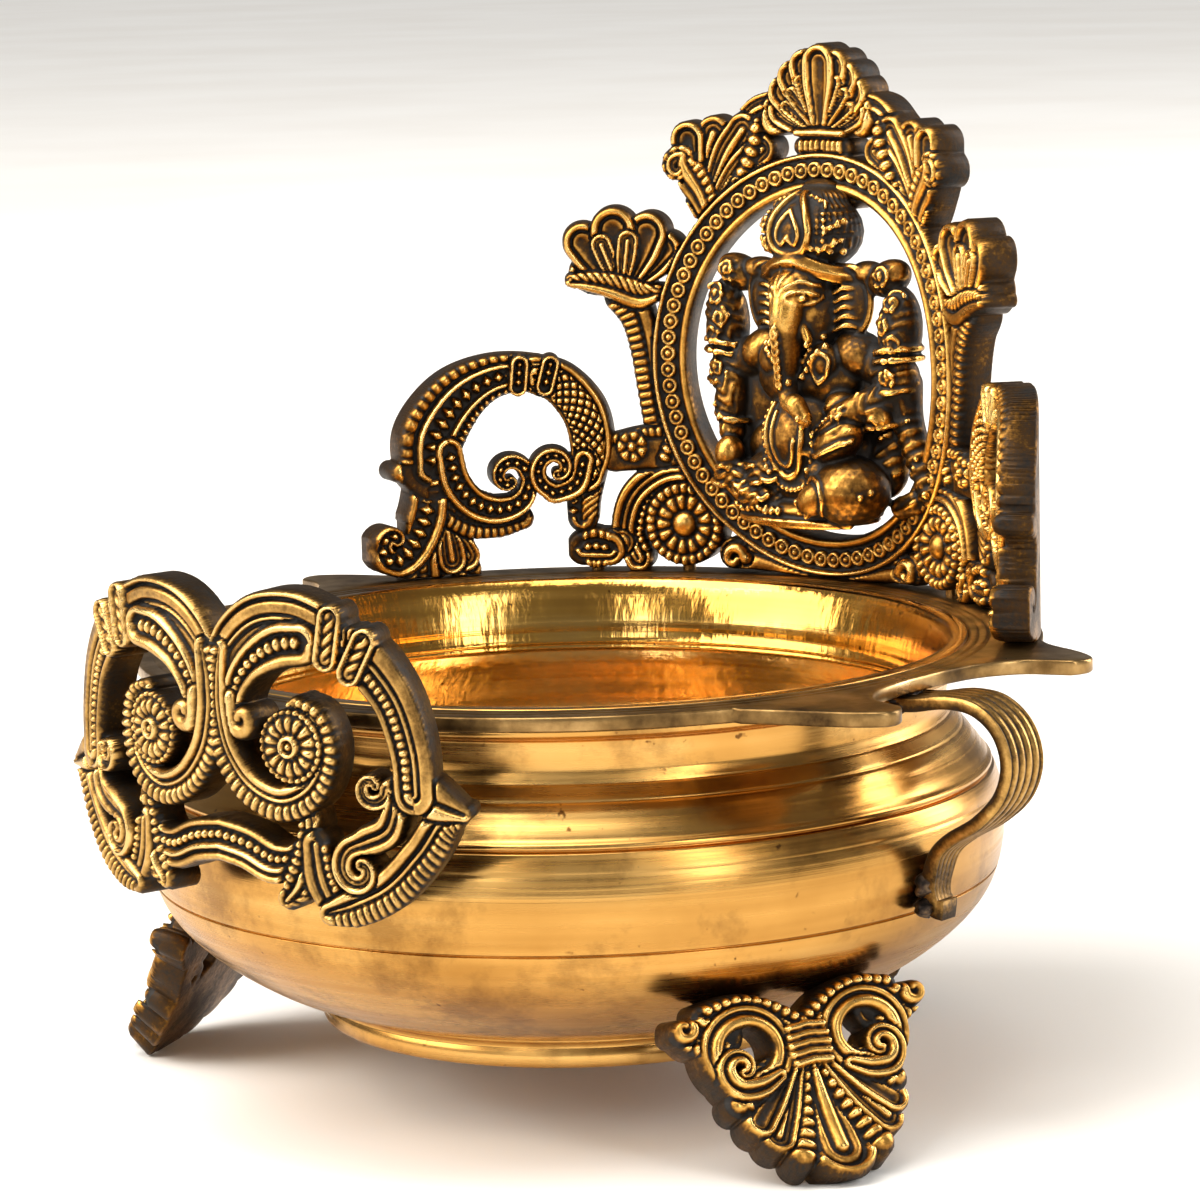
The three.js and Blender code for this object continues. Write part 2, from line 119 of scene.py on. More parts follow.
# draws a moulding along a line: lanes lie side by side from -1, its right edge, to 1, its left edge
def stroke(panel, points, lanes, lift=0.0, closed=False, moat=0.45):
    line = curveThrough(points, closed)
    low, pitch, shape = panel["low"], panel["pitch"], panel["u"].shape
    reach = line[:, 2].max() / 2 + moat + pitch
    near = np.full(shape, 1e3)
    side = np.zeros(shape)
    far = np.zeros(shape)
    width = np.ones(shape)
    length = 0.0
    for a, b in zip(line[:-1], line[1:]):
        step = (b - a)[:2]
        size = math.hypot(*step)
        if size < 1e-6:
            continue
        first = [max(0, int((min(a[k], b[k]) - reach - low[k]) / pitch)) for k in (0, 1)]
        last = [min(shape[k], int((max(a[k], b[k]) + reach - low[k]) / pitch) + 2) for k in (0, 1)]
        if first[0] >= last[0] or first[1] >= last[1]:
            length += size
            continue
        w = (slice(first[0], last[0]), slice(first[1], last[1]))
        du, dv = panel["u"][w] - a[0], panel["v"][w] - a[1]
        t = np.clip((du * step[0] + dv * step[1]) / size**2, 0, 1)
        distance = np.hypot(du - t * step[0], dv - t * step[1])
        better = distance < near[w]
        near[w] = np.where(better, distance, near[w])
        side[w] = np.where(better, np.where(step[0] * dv - step[1] * du >= 0, 1, -1), side[w])
        far[w] = np.where(better, length + t * size, far[w])
        width[w] = np.where(better, a[2] + t * (b[2] - a[2]), width[w])
        length += size
    half = width / 2
    inside = near < half
    panel["edge"] = np.maximum(panel["edge"], half - near)
    ring = (near < half + moat) & ~inside
    panel["height"][ring] = np.minimum(panel["height"][ring], lift)
    height = np.full(shape, lift)
    place = np.clip(side * near / half, -1, 1)
    for start, end, kind, level, *size in lanes:
        inLane = inside & (place >= start) & (place <= end)
        middle, span = (start + end) / 2 * half[inLane], (end - start) / 2 * half[inLane]
        gap = size[0] if size else 2.0
        gap = length / max(1, round(length / gap)) if closed else gap
        x = side[inLane] * near[inLane] - middle
        height[inLane] = lift + level * laneHeight(kind, x, far[inLane], span, gap)
    panel["height"][inside] = height[inside]


# a round boss of concentric rings: [inner, outer, kind, level, count round] as shares of the radius
def medallion(panel, centre, radius, rings, lift=0.0, moat=0.45):
    du, dv = panel["u"] - centre[0], panel["v"] - centre[1]
    r, turn = np.hypot(du, dv), np.arctan2(dv, du)
    panel["edge"] = np.maximum(panel["edge"], radius - r)
    ring = (r < radius + moat) & (r >= radius)
    panel["height"][ring] = np.minimum(panel["height"][ring], lift)
    panel["height"][r < radius] = lift
    for inner, outer, kind, level, *count in rings:
        inRing = (r >= inner * radius) & (r < outer * radius)
        middle, span = (inner + outer) / 2 * radius, (outer - inner) / 2 * radius
        if kind == "dome":
            height = np.sqrt(np.clip(1 - (r / (outer * radius)) ** 2, 0, 1))
        elif kind == "petals":
            cell = turn * count[0] / (2 * math.pi)
            cell = np.abs(cell - np.floor(cell) - 0.5) * 2
            share = np.clip((r - inner * radius) / (2 * span), 0, 1)
            swell = 0.35 + 0.65 * np.sin(math.pi * share**1.3) ** 0.5
            height = np.sqrt(np.clip(1 - cell**2, 0, 1)) * swell
        else:
            pitch = 2 * math.pi * middle / count[0] if count else 2.0
            height = laneHeight(kind, r - middle, turn * middle, span, pitch)
        panel["height"][inRing] = lift + level * height[inRing]


# a fan of leaves from one root, each [degrees, length, width]
def leaves(panel, start, fan, lanes, lift=0.0, bow=0.0):
    for degrees, length, width in fan:
        turn = math.radians(degrees)
        at = lambda share, off: [start[0] + length * share * math.cos(turn) - off * math.sin(turn),
                                 start[1] + length * share * math.sin(turn) + off * math.cos(turn)]
        tip = 1 - 0.5 * width / length
        stroke(panel, [at(0, 0) + [width * 0.3], at(0.35 * tip, bow) + [width * 0.62],
                       at(0.7 * tip, bow) + [width * 0.95], at(tip, 0) + [width]], lanes, lift)


# completes a half panel that ends at the middle line with its mirror image
def mirrored(panel):
    flip = lambda a: np.concatenate([a, a[-2::-1]], axis=0)
    whole = {key: flip(panel[key]) for key in ("v", "edge", "height")}
    whole["u"] = np.concatenate([panel["u"], -panel["u"][-2::-1]], axis=0)
    return {**panel, **whole}


leafLanes = [(-1, -0.64, "bar", 1.7), (-0.6, -0.3, "bar", 1.0), (-0.24, 0.24, "bar", 1.9),
             (0.3, 0.6, "bar", 1.0), (0.64, 1, "bar", 1.7)]
petalLanes = [(-1, -0.6, "bar", 2.2), (-0.5, 0.5, "cup", 1.5), (0.6, 1, "bar", 2.2)]


def archOrnament():
    panel = newPanel((-66, 0.3), (0, 122.5), 0.36)
    # shoulder between the upper leaves and the crest
    stroke(panel, [[-22, 103, 5], [-17, 106.5, 6], [-11, 107, 6.5], [-7, 105, 5]], leafLanes)
    # upper leaves with a hooked outer lobe
    leaves(panel, (-31, 80), [[84, 25, 8.5], [66, 27.5, 8], [50, 26, 7]], leafLanes, bow=1.5)
    leaves(panel, (-31.5, 80), [[101, 24, 8.5]], petalLanes, bow=1)
    stroke(panel, [[-30, 81, 4], [-32, 87, 7], [-36, 93, 8.4]]
           + spiral((-37.6, 93.2), (3.2, 1.2), (60, 330), (4, 2.6)),
           [(-1, -0.3, "ribs", 1.9, 1.8), (-0.3, 0.4, "bar", 2.2), (0.4, 1, "bar", 1.4)], lift=0.5)
    stroke(panel, [[-28.5, 82, 3], [-22.5, 90, 3.6], [-18.6, 98, 3.6], [-17.6, 103.5, 3]],
           [(-1, 1, "beads", 2.2, 2.7)], lift=0.5)
    # side column and lotus
    stroke(panel, [[-43.4, 29, 7], [-45.5, 42, 7], [-47, 52, 7.2], [-48.8, 59, 8], [-51.2, 64, 10.5]],
           [(-1, -0.15, "bar", 1.6), (-0.1, 1, "ribs", 2.0, 1.9)])
    leaves(panel, (-52, 64), [[150, 14, 8], [45, 19, 8.5], [127, 20, 9.5], [66, 20.5, 10], [97, 20.5, 11]],
           petalLanes)
    leaves(panel, (-52, 64), [[112, 15, 5], [82, 15, 5]], leafLanes, lift=0.4)
    stroke(panel, [[-43.5, 64.5, 4], [-48, 64, 6.5], [-54, 66, 6], [-60, 67.2, 4.6], [-64, 67.4, 3.2]],
           [(-1, 0.05, "slant", 2.0, 1.9), (0.1, 1, "bar", 2.2)], lift=0.5)
    # crest palmette on its ribbed neck
    stroke(panel, [[-13.4, 106.5, 5]] + spiral((-12.2, 103.4), (2.8, 1.0), (100, 420), (3.4, 2.2)),
           [(-1, 1, "bar", 2.4)], lift=0.4)
    leaves(panel, (0, 100.5), [[153, 15.5, 7.5], [137, 18, 8], [121, 19, 8], [106, 20, 8]], petalLanes,
           lift=0.3)
    leaves(panel, (0, 100.5), [[145, 12.5, 3], [129, 13.5, 3], [113, 14.5, 3], [90, 20.6, 9]], petalLanes,
           lift=0.6)
    stroke(panel, [[-6.4, 90, 12], [0, 90, 12]], [(-1, 1, "flat", 0.8)])
    stroke(panel, [[-6.2, 97.8, 4.6], [0, 97.8, 4.6]], [(-1, 1, "ribs", 2.0, 1.5)], lift=0.3)
    stroke(panel, [[-6.6, 101, 2], [0, 101.2, 2]], [(-1, 1, "bar", 2.4)], lift=0.3)
    stroke(panel, [[-7.2, 94.6, 1.8], [0, 94.8, 1.8]], [(-1, 1, "bar", 2.2)], lift=0.3)
    # scroll feet, with a rope-edged rosette
    stroke(panel, [[-26, 4.4, 7.5], [-19, 3.6, 6], [-10, 2.4, 4.6], [0, 2.0, 4]],
           [(-1, 0.2, "bar", 1.5), (0.3, 1, "bar", 1.2)])
    stroke(panel, [[-22.5, 3.6, 3]] + spiral((-25.6, 3.6), (2.6, 1.0), (0, 330), (3, 2)),
           [(-1, 1, "bar", 2.3)])
    stroke(panel, [[-31, 20, 6], [-36, 22.4, 7.5], [-43, 22, 8.4], [-49.6, 17, 8.6], [-52, 9, 8],
                   [-49.5, 3, 7]],
           [(-1, -0.45, "bar", 2.3), (-0.4, -0.05, "bar", 1.5), (0.0, 0.4, "bar", 2.1),
            (0.45, 1, "beads", 2.0, 2.1)])
    medallion(panel, (-38, 11), 9.7, [(0.74, 1, "ribs", 2.1, 26), (0.34, 0.72, "petals", 2.0, 13),
                                      (0, 0.32, "dome", 2.6)], lift=0.3)
    stroke(panel, [[-53.5, 6.6, 6], [-58, 6.4, 7]], [(-1, 1, "slant", 1.7, 1.8)])
    stroke(panel, [[-62.6, 5.2, 8], [-60, 5.4, 9.8], [-56.6, 5, 8]],
           [(-1, -0.55, "ribs", 2.0, 1.6), (-0.5, -0.2, "bar", 1.6), (-0.1, 0.3, "beads", 1.9, 2.0),
            (0.5, 1, "ribs", 2.0, 1.6)])
    # leaf block that holds the wing
    stroke(panel, [[-41, 29, 9.5], [-48, 28.4, 10], [-54.6, 27.4, 9]],
           [(-1, -0.5, "ribs", 1.9, 1.7), (-0.45, 1, "flat", 0.9)])
    medallion(panel, (-50.4, 29), 3.7, [(0.32, 1, "petals", 1.7, 7), (0, 0.34, "dome", 2.3)], lift=0.6)
    stroke(panel, [[-43, 25.6, 3.2], [-40.6, 31, 3.2]], [(-1, 1, "beads", 1.9, 2.0)], lift=0.3)
    # the oval ring of ringed dots with a plain inner lip
    ring = [[40.6 * math.cos(a), 48.7 + 43.6 * math.sin(a), 8.8]
            for a in np.linspace(0, 2 * math.pi, 40, endpoint=False)]
    stroke(panel, ring, [(-1, -0.72, "bar", 1.7), (-0.74, 0.48, "rings", 1.9, 3.7), (0.46, 1, "bar", 1.6)],
           lift=0.3, closed=True)
    return mirrored(panel)


def wingOrnament():
    panel = newPanel((-114, 0.3), (-55, 52), 0.36)
    # leaf pedestal under the arch, and its outer curl
    stroke(panel, [[-98.4, 20, 11], [-97.6, 12, 15], [-97, 5, 18], [-96.6, 0.4, 19]],
           [(-1, -0.7, "bar", 1.5), (-0.66, -0.4, "ribs", 1.2, 2.3), (-0.36, -0.1, "bar", 1.9),
            (-0.04, 0.24, "ribs", 1.2, 2.6), (0.3, 0.6, "bar", 1.8), (0.68, 1, "slant", 1.5, 1.9)])
    leaves(panel, (-96, 14), [[-62, 14, 7], [-82, 13.4, 7]], leafLanes, lift=0.3)
    stroke(panel, [[-97, 17, 7], [-90, 12.6, 7.4], [-83, 11.6, 6.4], [-77, 12.8, 5.4]],
           [(-1, -0.1, "ribs", 1.8, 1.7), (0.0, 1, "slant", 1.3, 1.6)])
    stroke(panel, [[-99.6, 23, 8.4], [-100.6, 15, 9.8], [-104, 8, 9.4], [-107.6, 5, 8.4]]
           + spiral((-109, 8.8), (4.2, 1.4), (250, 60), (6, 3.8)),
           [(-1, -0.55, "bar", 1.7), (-0.5, 0.45, "studs", 2.3, 2.8), (0.5, 1, "bar", 1.9)], lift=0.3)
    # tail that hangs from the arch's inner end
    stroke(panel, [[-61.2, 24, 9], [-62.4, 17, 8], [-62.6, 12.6, 7.4]],
           [(-1, -0.2, "studs", 1.8, 2.2), (-0.1, 1, "slant", 1.6, 1.8)])
    # outer ribbed flange, and the arch with its rows of studs
    stroke(panel, [[-107.2, 25.2, 4.6], [-103.4, 24.8, 6.6], [-99, 24.4, 5]], [(-1, 1, "bar", 2.2)],
           lift=0.3)
    arch = [[-99, 26, 15], [-98, 33, 16], [-92, 41, 14], [-84, 45.6, 10.5], [-75, 46.4, 8.8],
            [-67, 43.5, 9.4], [-61.8, 37, 10], [-60.2, 29, 9.6], [-61.8, 22, 8]]
    stroke(panel, arch, [(-1, -0.62, "studs", 2.0, 2.2), (-0.6, -0.42, "bar", 2.2),
                         (-0.36, 0.24, "studs", 2.4, 3.0), (0.3, 0.5, "bar", 2.4),
                         (0.6, 1, "ribs", 1.9, 2.1)])
    stroke(panel, [[-73, 46, 9], [-67, 43.5, 10], [-61.8, 37, 10.6], [-60.2, 29, 10.2], [-61.6, 23, 9]],
           [(-1, -0.82, "bar", 1.6), (-0.8, 0.6, "lattice", 2.3, 2.5), (0.64, 1, "bar", 2.0)])
    # lower lip of the arch: a studded scroll that ends in a small volute
    stroke(panel, [[-94.6, 29, 7], [-93, 22, 7.4], [-88.6, 16.8, 7], [-82.5, 15, 6.4], [-77, 17, 5.2],
                   [-75, 21.5, 4.2]]
           + spiral((-80, 22.4), (4.6, 1.2), (5, 300), (4, 2.6)),
           [(-1, -0.5, "bar", 2.1), (-0.4, 0.5, "studs", 2.2, 2.4), (0.55, 1, "bar", 1.6)], lift=0.4)
    stroke(panel, [[-62, 26, 5], [-64, 20.5, 5.4], [-69, 18.4, 5]]
           + spiral((-68.8, 24), (5.2, 1.3), (255, -80), (4.6, 2.6)),
           [(-1, -0.4, "bar", 1.6), (-0.35, 0.3, "studs", 2.0, 2.2), (0.35, 1, "bar", 2.2)], lift=0.4)
    # tie blocks across the top
    for across, turn in ((-77.6, 0.1), (-71.4, 0.28)):
        along = np.array([math.sin(turn), math.cos(turn)])
        low, high = np.array([across, 41.8]) + 1.6 * along, np.array([across, 41.8]) + 6.8 * along
        stroke(panel, [[*low, 4.4], [*high, 4.4]],
               [(-1, -0.6, "bar", 2.4), (-0.5, 0.5, "studs", 2.0, 2.2), (0.6, 1, "bar", 2.4)], lift=0.5)
    return panel


def frontOrnament():
    panel = newPanel((0, -39.5), (60, 27.5), 0.36)
    # lower bar with its bead row and double arch
    stroke(panel, [[-1, -23.8, 8.6], [7, -25, 8.8], [14, -27.4, 8.4], [20, -26, 6.4], [23.4, -21, 5]],
           [(-1, -0.5, "bar", 2.0), (-0.45, -0.1, "bar", 2.3), (0.0, 0.5, "beads", 1.9, 2.0),
            (0.6, 1, "bar", 1.7)])
    # lower leaf and the ribbed lower lobe with its tail
    stroke(panel, [[23, -18, 5], [22.6, -25, 7], [20, -31, 7.6], [17.4, -34, 5]],
           [(-1, -0.2, "beads", 1.8, 2.1), (-0.1, 0.3, "bar", 2.1), (0.35, 1, "slant", 1.7, 1.8)])
    stroke(panel, [[24.4, -23, 6], [25.6, -30, 7.4], [29, -36, 6]],
           [(-1, -0.3, "bar", 1.8), (-0.2, 0.3, "bar", 1.5), (0.4, 1, "ribs", 1.8, 1.8)])
    stroke(panel, [[57.4, -15.4, 3], [52.6, -17.4, 7.6], [48, -23.6, 8.6], [41, -30.6, 8.6],
                   [33, -34.6, 8.0], [27.5, -36.2, 5]],
           [(-1, -0.35, "bar", 2.2), (-0.25, 0.0, "bar", 1.4), (0.05, 1, "ribs", 2.0, 1.6)])
    stroke(panel, [[45.6, -11, 9.4], [51.6, -13.6, 7.4], [57, -15.6, 3]],
           [(-1, -0.1, "bar", 2.0), (0.0, 1, "bar", 1.5)], lift=0.2)
    # stem that leaves one small spiral and ends in another
    stroke(panel, spiral((37.8, -11), (1.0, 3.4), (-330, 0), (2, 3.8))
           + [[42.6, -13.4, 5], [41, -19, 6.4], [36.4, -21.4, 6.4]]
           + spiral((34.6, -27), (4.8, 1.2), (95, 420), (5.2, 3)),
           [(-1, -0.3, "bar", 2.2), (-0.2, 0.25, "bar", 1.4), (0.3, 1, "bar", 2.0)], lift=0.4)
    # right-hand arc with a hatched strip
    stroke(panel, [[34, 15, 10], [38.6, 11.4, 10], [43.2, 5, 9.4], [46, -4, 9], [46.6, -12, 8.6]],
           [(-1, -0.6, "bar", 1.7), (-0.54, -0.06, "ribs", 2.1, 1.7), (0.0, 0.24, "bar", 1.7),
            (0.3, 1, "flat", 1.9)])
    # paisley arch, its tip curled back to a bead
    stroke(panel, [[1, 9, 7.5], [5.6, 15.4, 10.6], [12, 19.6, 11.6], [20, 20.4, 12], [27, 18, 12.5]],
           [(-1, -0.1, "flat", 1.1), (-0.02, 0.14, "bar", 1.5), (0.2, 0.66, "flat", 1.7),
            (0.74, 1, "bar", 2.0)])
    stroke(panel, [[22.5, 16.0, 8.6], [17, 15.2, 9], [11, 12, 7.4], [7, 7.4, 6], [5.2, 2.4, 4.8]],
           [(-1, -0.55, "bar", 2.1), (-0.45, 0.25, "beads", 1.9, 2.1), (0.35, 1, "bar", 2.2)], lift=0.5)
    stroke(panel, [[5.0, 4.6, 3.6], [5.2, 1.6, 4.2]]
           + spiral((8.2, 0.6), (2.9, 0.9), (185, 520), (4.2, 2.6)), [(-1, 1, "bar", 2.4)], lift=0.6)
    # tie blocks
    for a, b in (([28.6, 13.6], [30, 21.6]), ([33.8, 11], [37.2, 17.4])):
        stroke(panel, [a + [5.2], b + [5.2]], [(-1, -0.62, "bar", 2.5), (-0.55, 0.55, "slant", 2.0, 2.6),
                                               (0.62, 1, "bar", 2.5)], lift=0.5)
    # rope-edged scroll that winds in to the rosette
    stroke(panel, [[2.2, 14, 4], [0.9, 8, 6.6], [0.9, 1, 7.2], [3.2, -6.6, 7.4], [9, -13, 7.4],
                   [17, -15.4, 7.4], [24.2, -12, 7.2], [27.2, -5, 6.6], [25.6, 1.4, 5.6], [21, 4, 4]],
           [(-1, -0.05, "ribs", 2.1, 1.75), (0.02, 0.32, "bar", 1.6), (0.4, 1, "bar", 2.2)], lift=0.3)
    medallion(panel, (19.4, -4), 7.4, [(0.84, 1, "ribs", 1.7, 26), (0.32, 0.82, "petals", 2.2, 14),
                                       (0.16, 0.32, "bar", 2.5), (0, 0.14, "dome", 2.3)], lift=0.4)
    # lift the middle seam's outline on to the mirror line
    whole = {**panel, "u": panel["u"][::-1] * -1, **{k: panel[k][::-1] for k in ("v", "edge", "height")}}
    return {**mirrored(whole), "low": (-panel["u"].max(), panel["low"][1])}


def footOrnament():
    panel = newPanel((-31, -4), (0, 42), 0.34)
    # the panel's up runs down the foot: the spread lobes, then the volutes and the tie under the bowl
    leaves(panel, (0, 9), [[90, 31, 15]], [(-1, -0.7, "bar", 2.2), (-0.6, -0.3, "bar", 1.2),
                                           (-0.22, 0.22, "bar", 2.0), (0.3, 0.6, "bar", 1.2),
                                           (0.7, 1, "bar", 2.2)])
    leaves(panel, (-0.5, 10), [[111, 27.5, 6.4]], [(-1, 1, "beads", 2.3, 2.6)])
    leaves(panel, (-1, 9), [[122, 26, 7.6]], leafLanes)
    leaves(panel, (-1, 9), [[134, 24.5, 7]], petalLanes)
    leaves(panel, (-1.5, 8), [[146, 23.5, 6.2]], [(-1, 1, "beads", 2.3, 2.6)])
    stroke(panel, [[-17, 5, 8], [-24, 4.6, 8], [-28, 3.6, 4]],
           [(-1, -0.3, "beads", 1.9, 2.1), (-0.3, 0.3, "beads", 1.9, 2.1), (0.3, 1, "beads", 1.9, 2.1)])
    stroke(panel, [[-25, 2.0, 3]] + spiral((-27.2, 2.4), (2.2, 0.8), (20, 300), (2.8, 2)),
           [(-1, 1, "bar", 2.4)])
    stroke(panel, [[-22, 0.6, 4.6], [-14, -0.4, 5], [-7, 1.6, 5], [-1, 5.4, 5]],
           [(-1, 0.1, "beads", 2.1, 2.2), (0.2, 1, "bar", 2.0)], lift=0.3)
    ring = [[-14 + 8 * math.cos(a), 9 + 7.2 * math.sin(a), 5]
            for a in np.linspace(0, 2 * math.pi, 16, endpoint=False)]
    stroke(panel, ring, [(-1, -0.3, "bar", 1.6), (-0.2, 1, "bar", 2.3)], closed=True, lift=0.2)
    stroke(panel, [[-8.4, 15.4, 3], [-12.4, 17, 4.4]]
           + spiral((-16.4, 12.6), (4.6, 1.0), (88, 430), (5, 2.6)),
           [(-1, -0.2, "bar", 1.8), (-0.1, 1, "bar", 2.4)], lift=0.5)
    for down in (5.6, 7.5, 9.4, 11.3, 13.2):  # bands of the tie
        stroke(panel, [[-4.4 + 0.12 * abs(down - 9), down + 0.5, 1.9], [0, down, 1.9]],
               [(-1, 1, "bar", 1.9)], lift=0.9, moat=0.1)
    return mirrored(panel)


# where a flat point goes: each takes distances across, up and out of the decorated face, and gives metres
archCurve = {"radius": 95.0, "thickness": 8.0}
frontCurve = {"radius": 105.0, "pattern": 114.0, "thickness": 8.0}
footCurve = {"radius": 82.2, "height": 33.0, "length": 40.0, "top": math.radians(16),
             "toe": math.radians(50), "thickness": 8.0}


def onArch(across, up, out):
    turn, radius = across / archCurve["radius"], archCurve["radius"] - out
    return np.stack([radius * np.sin(turn), radius * np.cos(turn), rim + up], -1) * mm


def onFront(across, up, out):
    turn, radius = across / frontCurve["pattern"], frontCurve["radius"] + out
    return np.stack([radius * np.sin(turn), -radius * np.cos(turn), rim + up], -1) * mm


def onFoot(degrees):
    turn, c = math.radians(degrees), footCurve
    bend = (c["toe"] - c["top"]) / c["length"]

    def place(across, down, out):
        slope = c["top"] + bend * down
        radius = c["radius"] + (math.cos(c["top"]) - np.cos(slope)) / bend + out * np.cos(slope)
        height = c["height"] - (np.sin(slope) - math.sin(c["top"])) / bend + out * np.sin(slope)
        x = radius * math.sin(turn) + across * math.cos(turn)
        y = -radius * math.cos(turn) + across * math.sin(turn)
        return np.stack([x, y, np.maximum(height, 0)], -1) * mm

    return place


# values over a panel, blurred by a radius in cells, with each cell counted by its weight
def blurred(values, weight, radius):
    size = int(radius * 2.5)
    kernel = np.exp(-0.5 * (np.arange(-size, size + 1) / radius) ** 2)
    done = []
    for a in (values * weight, weight):
        for axis in (0, 1):
            padded = np.pad(a, [(size, size) if k == axis else (0, 0) for k in (0, 1)])
            count = values.shape[axis]
            a = sum(k * np.take(padded, range(i, i + count), axis=axis) for i, k in enumerate(kernel))
        done.append(a)
    return done[0] / np.maximum(done[1], 1e-4)


def newMesh(name, points, faces, material, wear=None, smooth=True):
    mesh = bpy.data.meshes.new(name)
    mesh.from_pydata(np.asarray(points).tolist(), [], [list(map(int, f)) for f in faces])
    mesh.polygons.foreach_set("use_smooth", [smooth] * len(mesh.polygons))
    if wear is not None:
        attribute = mesh.attributes.new("wear", "FLOAT", "POINT")
        attribute.data.foreach_set("value", np.asarray(wear, np.float32))
    mesh.materials.append(material)
    piece = bpy.data.objects.new(name, mesh)
    bpy.context.scene.collection.objects.link(piece)
    return piece


# how far the patina is rubbed off a casting, from 0 to 1: on its ground, at its cut edges and on its back,
# how much more on what stands above its surroundings, and the width in millimetres that it is judged over
castWear = {"ground": 0.42, "edge": 0.42, "back": 0.5, "proud": 0.55, "height": 0.08, "spread": 0.8}


# a closed casting from a relief panel: decorated front, plain back, and rounded edges
def casting(name, panel, place, thickness, material, base=-1.6, rounding=1.1):
    edge, height, pitch = panel["edge"], panel["height"], panel["pitch"]
    keep = (edge[:-1, :-1] + edge[1:, :-1] + edge[1:, 1:] + edge[:-1, 1:]) > 0
    for _ in range(3):  # cells that touch only at a corner are joined
        crossed = (keep[:-1, :-1] & keep[1:, 1:] & ~keep[1:, :-1] & ~keep[:-1, 1:])
        other = (~keep[:-1, :-1] & ~keep[1:, 1:] & keep[1:, :-1] & keep[:-1, 1:])
        fill = crossed | other
        keep[:-1, :-1] |= fill
        keep[1:, 1:] |= fill
        keep[1:, :-1] |= fill
        keep[:-1, 1:] |= fill
    corners = np.zeros((4,) + edge.shape, bool)
    for k, (i, j) in enumerate(((0, 0), (1, 0), (1, 1), (0, 1))):
        corners[k][i:i + keep.shape[0], j:j + keep.shape[1]] = keep
    used = corners.any(0)
    border = used & ~corners.all(0)
    gu, gv = np.gradient(edge, pitch)
    square = np.maximum(gu**2 + gv**2, 0.2)
    u, v = panel["u"].copy(), panel["v"].copy()
    u[border] -= np.clip(edge * gu / square, -0.8 * pitch, 0.8 * pitch)[border]
    v[border] -= np.clip(edge * gv / square, -0.8 * pitch, 0.8 * pitch)[border]
    depth = np.where(border, 0, np.clip(edge, 0, rounding))
    drop = rounding - np.sqrt(np.maximum(rounding**2 - (rounding - depth) ** 2, 0))
    front = thickness / 2 + base + height - 0.75 * drop
    back = -thickness / 2 + 0.5 * drop
    weight = (edge > 0).astype(float)
    proud = height - blurred(height, weight, castWear["spread"] / pitch)
    wear = np.clip(castWear["ground"] + castWear["proud"] * proud + castWear["height"] * height, 0, 1)
    wear = np.where(border, castWear["edge"], wear)
    number = np.full(edge.shape, -1)
    number[used] = np.arange(used.sum())
    count = int(used.sum())
    points = np.vstack([place(u[used], v[used], front[used]), place(u[used], v[used], back[used])])
    i, j = np.nonzero(keep)
    cells = np.stack([number[i, j], number[i + 1, j], number[i + 1, j + 1], number[i, j + 1]], 1)
    sides = np.vstack([cells[:, [k, (k + 1) % 4]] for k in range(4)])
    pairs = {tuple(p) for p in sides.tolist()}
    rims = [(a, b) for a, b in pairs if (b, a) not in pairs]
    walls = [(b, a, a + count, b + count) for a, b in rims]
    faces = cells.tolist() + (cells[:, ::-1] + count).tolist() + walls
    allWear = np.concatenate([wear[used], np.where(border, castWear["edge"], castWear["back"])[used]])
    piece = newMesh(name, points, faces, material, allWear)
    outward(piece)
    return piece


# turns a closed mesh's faces outwards
def outward(piece):
    mesh = piece.data
    count = len(mesh.vertices)
    places = np.empty(count * 3)
    mesh.vertices.foreach_get("co", places)
    places = places.reshape(-1, 3)
    mesh.calc_loop_triangles()
    corners = np.empty(len(mesh.loop_triangles) * 3, np.int32)
    mesh.loop_triangles.foreach_get("vertices", corners)
    a, b, c = places[corners.reshape(-1, 3)].transpose(1, 0, 2)
    if np.einsum("ij,ij->i", a, np.cross(b, c)).sum() < 0:
        mesh.flip_normals()


# a turned piece: [radius, height] points of a closed profile, spun about the bowl's axis
def lathe(name, profile, sides, material):
    profile = np.array(profile, float)
    turn = np.arange(sides) * 2 * math.pi / sides
    rows = len(profile)
    points = np.stack([profile[:, :1] * np.cos(turn), profile[:, :1] * np.sin(turn),
                       np.repeat(profile[:, 1:2], sides, 1)], -1)
    faces = []
    for k in range(rows):
        n = (k + 1) % rows
        for s in range(sides):
            t = (s + 1) % sides
            faces.append((k * sides + s, k * sides + t, n * sides + t, n * sides + s))
    piece = newMesh(name, points.reshape(-1, 3) * mm, faces, material)
    outward(piece)
    return piece


def linear(hexColour):
    parts = [int(hexColour[k:k + 2], 16) / 255 for k in (1, 3, 5)]
    return [c / 12.92 if c <= 0.04045 else ((c + 0.055) / 1.055) ** 2.4 for c in parts] + [1.0]


# adds a node with its settings, and links its inputs from sockets or sets them to values
# stops are the places on a colour ramp, each with a hex colour or a grey level
def addNode(tree, kind, settings=None, inputs=None, stops=()):
    node = tree.nodes.new("ShaderNode" + kind)
    for key, value in (settings or {}).items():
        setattr(node, key, value)
    for key, value in (inputs or {}).items():
        if isinstance(value, bpy.types.NodeSocket):
            tree.links.new(value, node.inputs[key])
        else:
            node.inputs[key].default_value = value
    for k, (place, colour) in enumerate(stops):
        if k >= len(node.color_ramp.elements):
            node.color_ramp.elements.new(1.0)
        node.color_ramp.elements[k].position = place
        grey = not isinstance(colour, str)
        node.color_ramp.elements[k].color = (colour, colour, colour, 1) if grey else linear(colour)
    return node


def newMaterial(name):
    material = bpy.data.materials.new(name)
    material.use_nodes = True
    tree = material.node_tree
    shader = tree.nodes["Principled BSDF"]
    shader.inputs["Metallic"].default_value = 1.0
    return material, tree, shader


